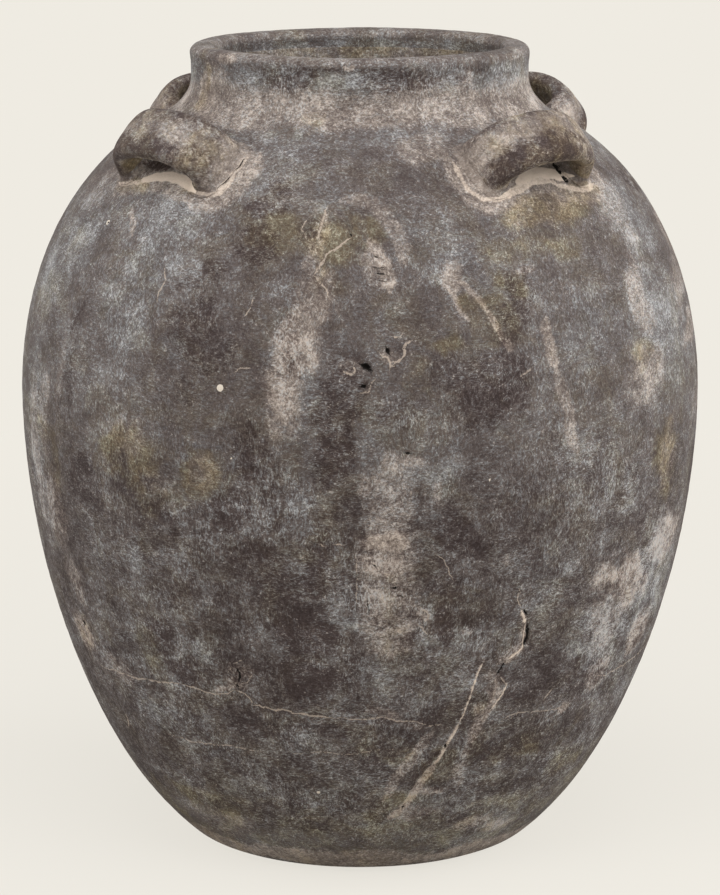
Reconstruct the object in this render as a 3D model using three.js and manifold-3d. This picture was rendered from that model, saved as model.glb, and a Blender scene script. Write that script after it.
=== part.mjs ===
// Terracotta urn: a large coil-built storage jar with four strap handles on its shoulder.
// The jar is built up from a foot slab in six wall courses, closed by a neck collar and a rolled rim.
// Each handle is a strap of clay luted on at both ends, with a coil of clay pressed round each root.
// Millimetres, +Z up, origin at the centre of the foot. The handles stand on the X and Y axes.

import * as THREE from 'three';
import { mergeVertices } from 'three/addons/utils/BufferGeometryUtils.js';
import Module from 'manifold-3d';

const wasm = await Module();
wasm.setup();

// Body
const footRadius = 110;
const footFlare = 37.3;         // degrees above the floor at which the wall leaves the foot
const footFullness = 72;        // how far the wall keeps that direction before it turns up
const bellyRadius = 213.5;
const bellyHeight = 283;
const bellyFullnessBelow = 114; // how long the wall stays upright under the belly line
const bellyFullnessAbove = 57;  // and above it
const shoulderRise = 170.5;     // from the belly line to where the shoulder starts to sweep up
const shoulderFullness = 77;    // how far the shoulder holds its slope below that point
const wallThickness = 13;
const footThickness = 18;
const floorFillet = 14;         // clay smoothed into the corner between floor and wall
const filletHollow = 4;         // how near the hollow of that fillet comes to the corner

// Neck and rim
const neckRadius = 105.5;
const neckWall = 16.5;
const sweepReach = 21;          // the shoulder sweeps up into the neck over this much radius
const sweepFoot = 12;           // height of the sloping half of the sweep
const sweepUpright = 14;        // height of its upright half
const neckStraight = 8.5;       // plain neck between the sweep and the rim
const rimDepth = 12;
const rimOverhang = 0.5;        // the rim stands proud of the neck, outside and inside
const rimEdgeRadius = 6;

// Joints in the wall
const firstJointHeight = 89;
const secondJointHeight = 125;
const lastJointDrop = 63.5;     // from the start of the sweep down to the last joint between courses
const collarSeatRise = 6.5;     // from the start of the sweep up to the collar's level seat
const bevelRise = 7;            // a joint between courses is bevelled, higher on the inside
const slipGap = 0.3;            // thickness of the slip in every luted joint
const bellyCourseCount = 3;

// Handles
const handleCount = 4;
const handleDrop = 14.5;        // from the start of the sweep down to the middle of a handle's seat
const handleLength = 88;        // over both roots, round the shoulder
const handleLean = 6;           // degrees by which the arch leans outward from square to the shoulder
const strapWidth = 36;          // down the slope of the shoulder
const strapThickness = 17;
const archRise = 30;            // top of the strap above its seat
const rootFlare = 2;            // how much wider the strap is on each side at its roots
const rootFlareHeight = 9;      // height over which it widens
const strapSquareness = 2.6;    // 2 is an ellipse, higher is closer to a rectangle
const archSquareness = 2.3;

// Luting coils round the roots
const coilRadius = 3.4;
const coilInset = 1.6;          // how far a coil is pressed into the corner

// Facets
const segmentsPerHandle = 12;   // of the round walls
const edgeSteps = 2;
const courseSteps = 4;
const shoulderSteps = 6;
const sweepSteps = 4;
const rimSteps = 2;
const archSteps = 18;
const strapSides = 14;
const coilSteps = 20;
const coilSides = 6;

// Reckoning
const weldDistance = 1e-4;
const halvings = 50;

const darkClay = 0x5b5450;
const greyClay = 0x6b6563;
const handleClay = 0x655f59;
const rimClay = 0x8d8379;
const slipClay = 0xa09182;

// Heights that follow from the sizes above
const shoulderHeight = bellyHeight + shoulderRise;
const cornerHeight = shoulderHeight + sweepFoot;
const sweepTopHeight = cornerHeight + sweepUpright;
const rimSeatHeight = sweepTopHeight + neckStraight;
const overallHeight = rimSeatHeight + rimDepth;
const collarSeatHeight = shoulderHeight + collarSeatRise;
const handleHeight = shoulderHeight - handleDrop;
const throatRadius = neckRadius - neckWall;
const roundSegments = handleCount * segmentsPerHandle;

const radians = THREE.MathUtils.degToRad;

function spread(low, high, steps) {
  return Array.from({ length: steps + 1 }, (_, i) => low + ((high - low) * i) / steps);
}

// Outer profile, as [radius, height]

const footPoint = new THREE.Vector2(footRadius, 0);
const bellyPoint = new THREE.Vector2(bellyRadius, bellyHeight);
const shoulderPoint = new THREE.Vector2(neckRadius + sweepReach, shoulderHeight);
const sweepCorner = new THREE.Vector2(neckRadius, cornerHeight);
const sweepTop = new THREE.Vector2(neckRadius, sweepTopHeight);
const footDirection = new THREE.Vector2(Math.cos(radians(footFlare)), Math.sin(radians(footFlare)));
const shoulderDirection = sweepCorner.clone().sub(shoulderPoint).normalize();

const lowerWall = new THREE.CubicBezierCurve(
  footPoint,
  footPoint.clone().addScaledVector(footDirection, footFullness),
  new THREE.Vector2(bellyRadius, bellyHeight - bellyFullnessBelow),
  bellyPoint,
);
const upperWall = new THREE.CubicBezierCurve(
  bellyPoint,
  new THREE.Vector2(bellyRadius, bellyHeight + bellyFullnessAbove),
  shoulderPoint.clone().addScaledVector(shoulderDirection, -shoulderFullness),
  shoulderPoint,
);
const neckSweep = new THREE.QuadraticBezierCurve(shoulderPoint, sweepCorner, sweepTop);
const neckLine = new THREE.LineCurve(sweepTop, new THREE.Vector2(neckRadius, overallHeight));
const profileCurves = [lowerWall, upperWall, neckSweep, neckLine];

// The curve and its parameter at a height. Every curve climbs steadily, so halving the interval finds it.
function placeOnProfile(height) {
  const curve = profileCurves.find((c) => height <= c.getPoint(1).y) ?? neckLine;
  let low = 0;
  let high = 1;
  for (let i = 0; i < halvings; i++) {
    const middle = (low + high) / 2;
    if (curve.getPoint(middle).y < height) low = middle;
    else high = middle;
  }
  return { curve, t: (low + high) / 2 };
}

function outerPoint(height) {
  const { curve, t } = placeOnProfile(height);
  return new THREE.Vector2(curve.getPoint(t).x, height);
}

// Direction straight out of the wall, away from the axis.
function outward(height) {
  const { curve, t } = placeOnProfile(height);
  const along = curve.getTangent(t);
  return new THREE.Vector2(along.y, -along.x);
}

function innerPoint(height) {
  return outerPoint(height).addScaledVector(outward(height), -wallThickness);
}

// Solids

// A profile turned round Z. It closes on itself or ends on the axis.
function turned(points) {
  const geometry = new THREE.LatheGeometry(points, roundSegments);
  geometry.rotateX(Math.PI / 2);
  return geometry;
}

function closed(points) {
  return [...points, points[0]];
}

function toManifold(geometry) {
  const bare = new THREE.BufferGeometry();
  bare.setAttribute('position', geometry.getAttribute('position').clone());
  bare.setIndex(geometry.index.clone());
  const merged = mergeVertices(bare, weldDistance);
  const mesh = new wasm.Mesh({
    numProp: 3,
    vertProperties: new Float32Array(merged.getAttribute('position').array),
    triVerts: new Uint32Array(merged.index.array),
  });
  return new wasm.Manifold(mesh);
}

function toGeometry(solid) {
  const { vertProperties, triVerts } = solid.getMesh();
  const geometry = new THREE.BufferGeometry();
  geometry.setAttribute('position', new THREE.BufferAttribute(new Float32Array(vertProperties), 3));
  geometry.setIndex(new THREE.BufferAttribute(new Uint32Array(triVerts), 1));
  geometry.computeVertexNormals();
  return geometry;
}

// A skin over rings of points. A loop's last ring joins its first; otherwise both ends are capped.
function skinned(rings, isLoop) {
  const sides = rings[0].length;
  const index = [];
  rings.forEach((_, i) => {
    if (!isLoop && i === rings.length - 1) return;
    const here = i * sides;
    const next = ((i + 1) % rings.length) * sides;
    for (let j = 0; j < sides; j++) {
      const k = (j + 1) % sides;
      index.push(here + j, here + k, next + k, here + j, next + k, next + j);
    }
  });
  if (!isLoop) {
    const last = (rings.length - 1) * sides;
    for (let j = 1; j < sides - 1; j++) {
      index.push(0, j + 1, j);
      index.push(last, last + j, last + j + 1);
    }
  }
  const geometry = new THREE.BufferGeometry();
  const positions = rings.flat().flatMap((p) => p.toArray());
  geometry.setAttribute('position', new THREE.Float32BufferAttribute(positions, 3));
  geometry.setIndex(index);
  return geometry;
}

function piece(name, geometry, colour) {
  const material = new THREE.MeshStandardMaterial({ color: colour, roughness: 0.92, metalness: 0 });
  const mesh = new THREE.Mesh(geometry, material);
  mesh.name = name;
  return mesh;
}

// Outer edges of the wall's pieces: heights from joint to joint, less the slip at both ends

const bellyJoints = spread(secondJointHeight, shoulderHeight - lastJointDrop, bellyCourseCount);
const courseJoints = [footThickness, firstJointHeight, ...bellyJoints, collarSeatHeight];

const courseEdges = courseJoints.slice(1).map((top, i) => {
  const steps = top === collarSeatHeight ? shoulderSteps : courseSteps;
  return spread(courseJoints[i] + slipGap / 2, top - slipGap / 2, steps);
});
const footEdge = spread(0, footThickness - slipGap / 2, edgeSteps);
const collarEdge = [
  ...spread(collarSeatHeight + slipGap / 2, sweepTopHeight, sweepSteps),
  rimSeatHeight - slipGap / 2,
];

// Foot slab

// A flat disc whose edge already has the line of the wall.
function footSlab() {
  const edge = footEdge.map(outerPoint);
  const top = edge.at(-1).y;
  return turned([new THREE.Vector2(0, 0), ...edge, new THREE.Vector2(0, top)]);
}

// Wall courses

// A course's inner face from its upper end down, with both ends raised by the bevel.
function innerFace(edge) {
  return spread(edge.at(-1) + bevelRise, edge[0] + bevelRise, edge.length - 1).map(innerPoint);
}

// The first course stands flat on the foot slab, with a fillet in the corner.
function firstCourse(edge) {
  const low = edge[0];
  const inner = spread(edge.at(-1) + bevelRise, low + floorFillet, edge.length - 1).map(innerPoint);
  const cornerRadius = inner.at(-1).x;
  const hollow = new THREE.Vector2(cornerRadius - filletHollow, low + filletHollow);
  const toe = new THREE.Vector2(cornerRadius - floorFillet, low);
  return turned(closed([...edge.map(outerPoint), ...inner, hollow, toe]));
}

function plainCourse(edge) {
  return turned(closed([...edge.map(outerPoint), ...innerFace(edge)]));
}

// The last course ends in a level seat for the collar. Its underside runs on in its own slope to the throat.
function lastCourse(edge) {
  const seat = edge.at(-1);
  const inner = spread(shoulderHeight, edge[0] + bevelRise, edge.length - 1).map(innerPoint);
  const slope = -shoulderDirection.y / shoulderDirection.x;
  const browHeight = inner[0].y + (inner[0].x - throatRadius) * slope;
  const throat = [
    new THREE.Vector2(throatRadius, seat),
    new THREE.Vector2(throatRadius, Math.min(browHeight, seat - slipGap)),
  ];
  return turned(closed([...edge.map(outerPoint), ...throat, ...inner]));
}

// Neck collar and rim

function neckCollar() {
  const outer = collarEdge.map(outerPoint);
  const top = new THREE.Vector2(throatRadius, collarEdge.at(-1));
  const bottom = new THREE.Vector2(throatRadius, collarEdge[0]);
  return turned(closed([...outer, top, bottom]));
}

// A roll of clay, rounded at both edges, with a narrow level land on top.
function rimRoll() {
  const low = rimSeatHeight + slipGap / 2;
  const outside = neckRadius + rimOverhang;
  const inside = throatRadius - rimOverhang;
  const edgeHeight = overallHeight - rimEdgeRadius;
  const section = new THREE.Path();
  section.moveTo(neckRadius, low);
  section.lineTo(outside, low + rimOverhang);
  section.absarc(outside - rimEdgeRadius, edgeHeight, rimEdgeRadius, 0, Math.PI / 2);
  section.absarc(inside + rimEdgeRadius, edgeHeight, rimEdgeRadius, Math.PI / 2, Math.PI);
  section.lineTo(inside, low + rimOverhang);
  section.lineTo(throatRadius, low);
  return turned(closed(section.getPoints(rimSteps)));
}

// Handles

// A handle's seat: its middle on the shoulder, the way round the jar, down the slope and out.
const seatPoint = outerPoint(handleHeight);
const seatOut = outward(handleHeight).rotateAround(new THREE.Vector2(), -radians(handleLean));
const seat = {
  middle: new THREE.Vector3(seatPoint.x, 0, seatPoint.y),
  round: new THREE.Vector3(0, 1, 0),
  down: new THREE.Vector3(seatOut.y, 0, -seatOut.x),
  out: new THREE.Vector3(seatOut.x, 0, seatOut.y),
};

function fromSeat(round, down, out) {
  return seat.middle
    .clone()
    .addScaledVector(seat.round, round)
    .addScaledVector(seat.down, down)
    .addScaledVector(seat.out, out);
}

// How far out from the seat the jar's surface lies beside its middle. It is negative where the jar curves away.
function surfaceLevel(round, down) {
  let low = -handleLength;
  let high = handleLength;
  for (let i = 0; i < halvings; i++) {
    const middle = (low + high) / 2;
    const p = fromSeat(round, down, middle);
    if (Math.hypot(p.x, p.y) < outerPoint(p.z).x) low = middle;
    else high = middle;
  }
  return (low + high) / 2;
}

// A point on a superellipse with half-axes a and b.
function superellipse(a, b, squareness, angle) {
  const c = Math.cos(angle);
  const s = Math.sin(angle);
  return [
    a * Math.sign(c) * Math.abs(c) ** (2 / squareness),
    b * Math.sign(s) * Math.abs(s) ** (2 / squareness),
  ];
}

const archHalfSpan = handleLength / 2 - rootFlare - strapThickness / 2;
const archHeight = archRise - strapThickness / 2;
const legDepth = strapThickness / 2 - surfaceLevel(handleLength / 2, strapWidth / 2 + rootFlare);

// The strap's centreline as [round, out]: up one leg, over the arch and down the other.
function archLine() {
  const leg = [-legDepth, -legDepth / 2];
  const arch = spread(Math.PI, 0, archSteps).map((angle) => {
    return superellipse(archHalfSpan, archHeight, archSquareness, angle);
  });
  return [
    ...leg.map((out) => [-archHalfSpan, out]),
    ...arch,
    ...leg.reverse().map((out) => [archHalfSpan, out]),
  ];
}

// How much wider the strap is on each side at a height above its seat.
function flareAt(out) {
  const share = THREE.MathUtils.clamp(1 - out / rootFlareHeight, 0, 1);
  return rootFlare * share * share;
}

// The strap, with its section grown by an allowance all round.
function strap(allowance) {
  const line = archLine();
  const rings = line.map(([round, out], i) => {
    const before = line[Math.max(i - 1, 0)];
    const after = line[Math.min(i + 1, line.length - 1)];
    const along = new THREE.Vector2(after[0] - before[0], after[1] - before[1]).normalize();
    const growth = flareAt(out) + allowance;
    const halfThickness = strapThickness / 2 + growth;
    const halfWidth = strapWidth / 2 + growth;
    return Array.from({ length: strapSides }, (_, j) => {
      const angle = (2 * Math.PI * j) / strapSides;
      const [thick, wide] = superellipse(halfThickness, halfWidth, strapSquareness, angle);
      return fromSeat(round - thick * along.y, wide, out + thick * along.x);
    });
  });
  return skinned(rings, false);
}

// The outside of the whole wall as one solid, grown by the slip, to cut what is luted on it.
function wallCutter() {
  const heights = [...courseEdges.flat(), ...collarEdge];
  const skin = heights.map((h) => outerPoint(h).addScaledVector(outward(h), slipGap));
  const floor = new THREE.Vector2(0, skin[0].y);
  const roof = new THREE.Vector2(0, skin.at(-1).y);
  return toManifold(turned([floor, ...skin, roof]));
}

// A coil pressed into the corner between a leg and the shoulder, all the way round the leg.
function lutingCoil(side) {
  const stand = rootFlare + coilRadius - coilInset;
  const halfThickness = strapThickness / 2 + stand;
  const halfWidth = strapWidth / 2 + stand;
  const loop = Array.from({ length: coilSteps }, (_, i) => {
    const angle = (2 * Math.PI * i) / coilSteps;
    const [thick, wide] = superellipse(halfThickness, halfWidth, strapSquareness, angle);
    const round = side * archHalfSpan + thick;
    return fromSeat(round, wide, surfaceLevel(round, wide));
  });
  const rings = loop.map((middle, i) => {
    const before = loop.at(i - 1);
    const after = loop[(i + 1) % coilSteps];
    const along = after.clone().sub(before).normalize();
    const sideways = new THREE.Vector3().crossVectors(seat.out, along).normalize();
    const up = new THREE.Vector3().crossVectors(along, sideways);
    return Array.from({ length: coilSides }, (_, j) => {
      const angle = (2 * Math.PI * j) / coilSides;
      return middle
        .clone()
        .addScaledVector(sideways, coilRadius * Math.cos(angle))
        .addScaledVector(up, coilRadius * Math.sin(angle));
    });
  });
  return skinned(rings, true);
}

const wall = wallCutter();
const strapWithSlip = toManifold(strap(slipGap));
const strapShape = toGeometry(toManifold(strap(0)).subtract(wall));
const coilShapes = [-1, 1].map((side) => {
  return toGeometry(toManifold(lutingCoil(side)).subtract(strapWithSlip).subtract(wall));
});

function handle(number) {
  const group = new THREE.Group();
  group.rotation.z = ((number - 1) * 2 * Math.PI) / handleCount;
  group.add(
    piece(`strap_handle_${number}`, strapShape, handleClay),
    piece(`luting_coil_${number}a`, coilShapes[0], slipClay),
    piece(`luting_coil_${number}b`, coilShapes[1], slipClay),
  );
  return group;
}

// The urn

const urn = new THREE.Group();
urn.add(
  piece('foot_slab', footSlab(), darkClay),
  piece('foot_wall_course', firstCourse(courseEdges[0]), darkClay),
  piece('lower_wall_course', plainCourse(courseEdges[1]), darkClay),
  piece('belly_course_lower', plainCourse(courseEdges[2]), darkClay),
  piece('belly_course_middle', plainCourse(courseEdges[3]), greyClay),
  piece('belly_course_upper', plainCourse(courseEdges[4]), greyClay),
  piece('shoulder_course', lastCourse(courseEdges[5]), greyClay),
  piece('neck_collar', neckCollar(), rimClay),
  piece('rim_roll', rimRoll(), rimClay),
);
for (let number = 1; number <= handleCount; number++) urn.add(handle(number));

export default urn;
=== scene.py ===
"""Looks of a large terracotta urn with four strap handles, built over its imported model.

Each piece of the pot gets its own fine skin of clay: walls turned round the pot's axis, straps carried along
their arches and fillets of slip carried round their roots. Metres, +Z up, origin at the centre of the foot.
"""

import math
from typing import NamedTuple

import bpy
import numpy as np
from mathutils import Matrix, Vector


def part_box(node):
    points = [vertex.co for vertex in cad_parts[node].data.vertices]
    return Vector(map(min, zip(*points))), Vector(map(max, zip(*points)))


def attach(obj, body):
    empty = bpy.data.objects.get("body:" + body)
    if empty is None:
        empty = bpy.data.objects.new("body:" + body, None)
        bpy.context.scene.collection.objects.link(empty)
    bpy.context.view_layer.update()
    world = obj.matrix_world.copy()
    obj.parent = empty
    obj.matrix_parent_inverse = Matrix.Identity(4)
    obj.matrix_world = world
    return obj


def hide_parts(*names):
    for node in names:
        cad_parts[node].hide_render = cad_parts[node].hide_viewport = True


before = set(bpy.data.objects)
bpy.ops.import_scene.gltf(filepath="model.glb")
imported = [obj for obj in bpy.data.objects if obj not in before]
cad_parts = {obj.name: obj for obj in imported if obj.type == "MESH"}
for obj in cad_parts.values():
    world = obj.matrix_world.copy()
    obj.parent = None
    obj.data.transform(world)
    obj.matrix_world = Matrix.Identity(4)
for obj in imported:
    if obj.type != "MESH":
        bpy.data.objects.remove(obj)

bl_info = {
    "name": "Terracotta urn",
    "version": (1, 0, 0),
    "blender": (4, 5, 0),
    "location": "3D View > Sidebar > Urn",
    "description": "Skins of worn clay, wash and slip for a large urn with four strap handles",
    "category": "Add Mesh",
}

MM = 0.001
DEGREE = math.pi / 180

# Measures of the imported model

SLIP = 0.3 * MM                     # thickness of the slip in each joint
WALL_COURSES = (
    "foot_wall_course",
    "lower_wall_course",
    "belly_course_lower",
    "belly_course_middle",
    "belly_course_upper",
    "shoulder_course",
)
HANDLE_COUNT = 4
FOOT_RADIUS = 110 * MM
BELLY_RADIUS = max(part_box(node)[1].x for node in WALL_COURSES)
FOOT_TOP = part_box("foot_slab")[1].z + SLIP / 2
RIM_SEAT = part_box("rim_roll")[0].z - SLIP / 2
OVERALL_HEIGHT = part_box("rim_roll")[1].z
VIEW_TURN = 47.5                    # degrees round the pot from -Y to the side that faces the camera


# Sizes and colours that a user may change


def length_property(name, description, default):
    return bpy.props.FloatProperty(
        name=name, description=description, default=default, subtype="DISTANCE", unit="LENGTH", precision=4
    )


def angle_property(name, description, default):
    return bpy.props.FloatProperty(
        name=name, description=description, default=default * DEGREE, subtype="ANGLE", unit="ROTATION"
    )


def colour_property(name, description, default):
    return bpy.props.FloatVectorProperty(
        name=name, description=description, default=default, size=3, min=0, max=1, subtype="COLOR"
    )


class UrnSizes(bpy.types.PropertyGroup):
    """Sizes of the pot's outer line, its wall, its handles and its worn surface."""

    foot_flare: angle_property("Foot flare", "Angle above the floor at which the wall leaves the foot", 37.3)
    foot_fullness: length_property("Foot fullness", "How far the wall keeps that direction", 72 * MM)
    belly_height: length_property("Belly height", "Height of the widest place", 283 * MM)
    fullness_below: length_property("Fullness below", "How long the wall stays upright under it", 114 * MM)
    fullness_above: length_property("Fullness above", "How long it stays upright above it", 57 * MM)
    shoulder_rise: length_property("Shoulder rise", "From the belly up to the neck's sweep", 170.5 * MM)
    shoulder_fullness: length_property("Shoulder fullness", "How far the shoulder holds its slope", 77 * MM)
    neck_radius: length_property("Neck radius", "Outer radius of the neck", 105.5 * MM)
    sweep_reach: length_property("Sweep reach", "Radius over which the shoulder turns into the neck", 21 * MM)
    sweep_foot: length_property("Sweep foot", "Height of the sloping half of that sweep", 12 * MM)
    sweep_upright: length_property("Sweep upright", "Height of its upright half", 14 * MM)
    wall_thickness: length_property("Wall thickness", "Thickness of the wall under the neck", 13 * MM)
    neck_wall: length_property("Neck wall", "Thickness of the neck", 16.5 * MM)
    bevel_rise: length_property("Bevel rise", "How much higher a joint is on the inside", 7 * MM)
    rim_overhang: length_property("Rim overhang", "How far the rim stands proud of the neck", 0.5 * MM)
    rim_edge: length_property("Rim edge", "Radius of the rim's two edges", 6 * MM)
    foot_edge: length_property("Foot edge", "Radius worn on the edge of the foot", 2.5 * MM)
    handle_drop: length_property("Handle drop", "From the neck's sweep down to a handle's middle", 13.5 * MM)
    handle_length: length_property("Handle length", "Over both roots of a handle", 88 * MM)
    handle_lean: angle_property("Handle lean", "How far an arch leans outward", 6)
    strap_width: length_property("Strap width", "Width of a strap down the slope", 36 * MM)
    strap_thickness: length_property("Strap thickness", "Thickness of a strap", 15 * MM)
    arch_rise: length_property("Arch rise", "Top of a strap above its seat", 30 * MM)
    fillet_radius: length_property("Fillet radius", "Hollow radius of the slip round a root", 3.4 * MM)
    lump_depth: length_property("Lump depth", "Depth of the hand-worked unevenness", 0.5 * MM)
    grain_depth: length_property("Grain depth", "Depth of the gritty surface", 0.09 * MM)


class UrnColours(bpy.types.PropertyGroup):
    """Colours of the clay and of what lies on it, as linear values."""

    dark_clay: colour_property("Dark clay", "Smoked clay at its darkest", (0.047, 0.0355, 0.033))
    brown_clay: colour_property("Brown clay", "Smoked clay in general", (0.096, 0.0775, 0.0705))
    grey_clay: colour_property("Grey clay", "Clay with its surface rubbed", (0.196, 0.170, 0.154))
    rubbed_clay: colour_property("Rubbed clay", "Clay rubbed pale", (0.43, 0.385, 0.35))
    bloom_tint: colour_property("Bloom tint", "How the cool bloom colours the clay", (0.805, 0.905, 1.0))
    # Darkens both real smoke and the painted shade that shares its layer
    soot_and_shade_tint: colour_property("Soot tint", "How smoke darkens it", (0.56, 0.505, 0.515))
    wash_tint: colour_property("Wash tint", "How the beige wash colours it", (1.0, 0.945, 0.89))
    ochre_tint: colour_property("Ochre tint", "How the ochre stain colours it", (1.0, 0.927, 0.685))
    beige_wash: colour_property("Beige wash", "Wash in scratches", (0.40, 0.33, 0.27))
    # Thick slip at the roots, and painted light on the shoulder under each arch
    cream_slip_and_painted_light: colour_property("Cream slip", "Thick slip at the handles' roots", (0.66, 0.55, 0.45))
    # Painted shade: near black in cracks and pits, where no light reaches
    hollow: colour_property("Hollow", "Bottom of a crack or pit", (0.008, 0.006, 0.005))
    pebble: colour_property("Pebble", "White grit in the clay", (0.54, 0.475, 0.40))
    backdrop: colour_property("Backdrop", "Floor and background", (0.863, 0.831, 0.761))


# Numbers on whole arrays


NOISE_VALUES = 4096                 # random values behind the lattice noise, a power of two
NOISE_PRIMES = (73856093, 19349663, 83492791)   # large primes that scatter the lattice's corners over them
OCTAVE_SHARE = 0.55                 # strength of each layer of clouds, against the one before


def smooth_step(low, high, values):
    """0 below low, 1 above high and the smooth curve 3t^2 - 2t^3 between them."""
    t = np.clip((values - low) / (high - low), 0, 1)
    return t * t * (3 - 2 * t)


def lattice_noise(points, size, seed):
    """Smooth noise from -1 to 1: random values on a cubic lattice, blended inside each of its cells."""
    values = np.random.default_rng(seed).uniform(-1, 1, NOISE_VALUES)
    cell = points / size
    base = np.floor(cell).astype(np.int64)
    part = smooth_step(0, 1, cell - base)
    total = np.zeros(points.shape[:-1])
    for corner in np.ndindex(2, 2, 2):
        key = (base + corner) @ np.array(NOISE_PRIMES)
        weight = np.prod(np.where(corner, part, 1 - part), axis=-1)
        total += weight * values[(key ^ (key >> 15)) & (NOISE_VALUES - 1)]
    return total


def clouds(points, size, octaves, seed):
    """Layers of smooth noise, each half the size and a little over half the strength of the one before."""
    total = np.zeros(points.shape[:-1])
    strength = 1.0
    for octave in range(octaves):
        total += strength * lattice_noise(points, size / 2**octave, seed + octave)
        strength *= OCTAVE_SHARE
    return total


def bezier(points, t):
    """A Bezier curve of any degree: neighbouring points are blended by t until one is left."""
    layer = [np.outer(1 - t, a) + np.outer(t, b) for a, b in zip(points, points[1:])]
    while len(layer) > 1:
        layer = [(1 - t)[:, None] * a + t[:, None] * b for a, b in zip(layer, layer[1:])]
    return layer[0]


LINE_POINTS = 1200                  # points on each curve of the wall's line


class WallLine:
    """The pot's outer line, from the foot to the rim, against the length along it.

    Two cubic Bezier curves make the lower and upper wall, a quadratic one sweeps up into the neck and a
    straight line ends it. The direction out of the wall is the line's own one turned by a right angle.
    """

    def __init__(self, sizes):
        shoulder = np.array((sizes.neck_radius + sizes.sweep_reach, sizes.belly_height + sizes.shoulder_rise))
        corner = np.array((sizes.neck_radius, shoulder[1] + sizes.sweep_foot))
        slope = (corner - shoulder) / np.linalg.norm(corner - shoulder)
        flare = np.array((math.cos(sizes.foot_flare), math.sin(sizes.foot_flare)))
        foot = np.array((FOOT_RADIUS, 0))
        belly = np.array((BELLY_RADIUS, sizes.belly_height))
        below = belly - (0, sizes.fullness_below)
        above = belly + (0, sizes.fullness_above)
        sweep_top = corner + (0, sizes.sweep_upright)
        t = np.linspace(0, 1, LINE_POINTS)
        lower = bezier([foot, foot + sizes.foot_fullness * flare, below, belly], t)
        upper = bezier([belly, above, shoulder - sizes.shoulder_fullness * slope, shoulder], t)
        sweep = bezier([shoulder, corner, sweep_top], t)
        neck = bezier([sweep_top, np.array((sizes.neck_radius, OVERALL_HEIGHT))], t)
        line = np.concatenate([lower, upper[1:], sweep[1:], neck[1:]])
        step = np.gradient(line, axis=0)
        step /= np.linalg.norm(step, axis=1)[:, None]
        self.radius, self.height = line.T
        self.out_radius = step[:, 1]
        self.out_height = -step[:, 0]
        self.length = np.append(0, np.cumsum(np.hypot(*np.diff(line, axis=0).T)))
        self.throat = sizes.neck_radius - sizes.neck_wall
        self.thickness = sizes.wall_thickness

    def length_at(self, height):
        """Length along the line at a height."""
        return np.interp(height, self.height, self.length)

    def outer(self, height):
        """Radius of the outside at a height."""
        return np.interp(height, self.height, self.radius)

    def out(self, height):
        """Direction out of the wall at a height, as its parts along the radius and the height."""
        return tuple(np.interp(height, self.height, part) for part in (self.out_radius, self.out_height))

    def steps(self, first, last, step):
        """Heights from the first to the last, up or down, at even lengths along the line."""
        start, end = self.length_at(first), self.length_at(last)
        count = max(2, math.ceil(abs(end - start) / step) + 1)
        return np.interp(np.linspace(start, end, count), self.length, self.height)

    def inner(self, height):
        """Radius and height of the inside, straight in from the outside by the wall's thickness."""
        out_radius, out_height = self.out(height)
        return self.outer(height) - self.thickness * out_radius, height - self.thickness * out_height


BACK_DENSITY = 0.25                 # columns at the back of a wall, against those in front


def turn_angles(columns):
    """Angles round the pot, closest together on the side that faces the camera.

    Their density falls smoothly from 1 in front to a quarter at the back. Even steps through the density's
    running total give the angles.
    """
    ring = np.linspace(-math.pi, math.pi, 3601)
    density = BACK_DENSITY + (1 - BACK_DENSITY) * smooth_step(-0.25, 0.1, np.cos(ring))
    total = np.append(0, np.cumsum((density[1:] + density[:-1]) / 2))
    return np.interp(np.arange(columns) / columns * total[-1], total, ring)


def on_pot(view_angle, radius, height):
    """A place from its angle round the pot, counted from the camera's side, its radius and its height."""
    world, radius, height = np.broadcast_arrays(view_angle + VIEW_TURN * DEGREE, radius, height)
    return np.stack([radius * np.sin(world), -radius * np.cos(world), height], axis=-1)


def view_degrees(points):
    """The angle of places round the pot in degrees, counted from the camera's side."""
    world = np.arctan2(points[..., 0], -points[..., 1]) / DEGREE
    return (world - VIEW_TURN + 180) % 360 - 180


# Layers of paint and marks on the outside


LAYERS = (
    "pale",
    "bloom",
    "ochre",
    # Smoke on the clay, and painted shade on the strap edges, under the rim, under the left arch and beside
    # the gouge
    "soot_and_shade",
    "pebble",
    "pit",
    "crack_side",
    "crack_near",
    "scratch_side",
    "scratch_near",
)
FAR = 9.0                           # value of a side layer where there is no line


class Patch(NamedTuple):
    """A soft patch. Angles are degrees to the right of the view's middle, and sizes are millimetres."""

    layer: str
    angle: float
    height: float
    half_width: float
    half_height: float
    tilt: float
    strength: float


class Stroke(NamedTuple):
    """A scraped, scratched or split line. Its path is a row of angles and heights, in a patch's units."""

    layer: str
    half_width: float
    depth: float
    strength: float
    path: tuple


class Spot(NamedTuple):
    """A round speck or hole, in a patch's units."""

    layer: str
    angle: float
    height: float
    radius: float
    depth: float
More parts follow.
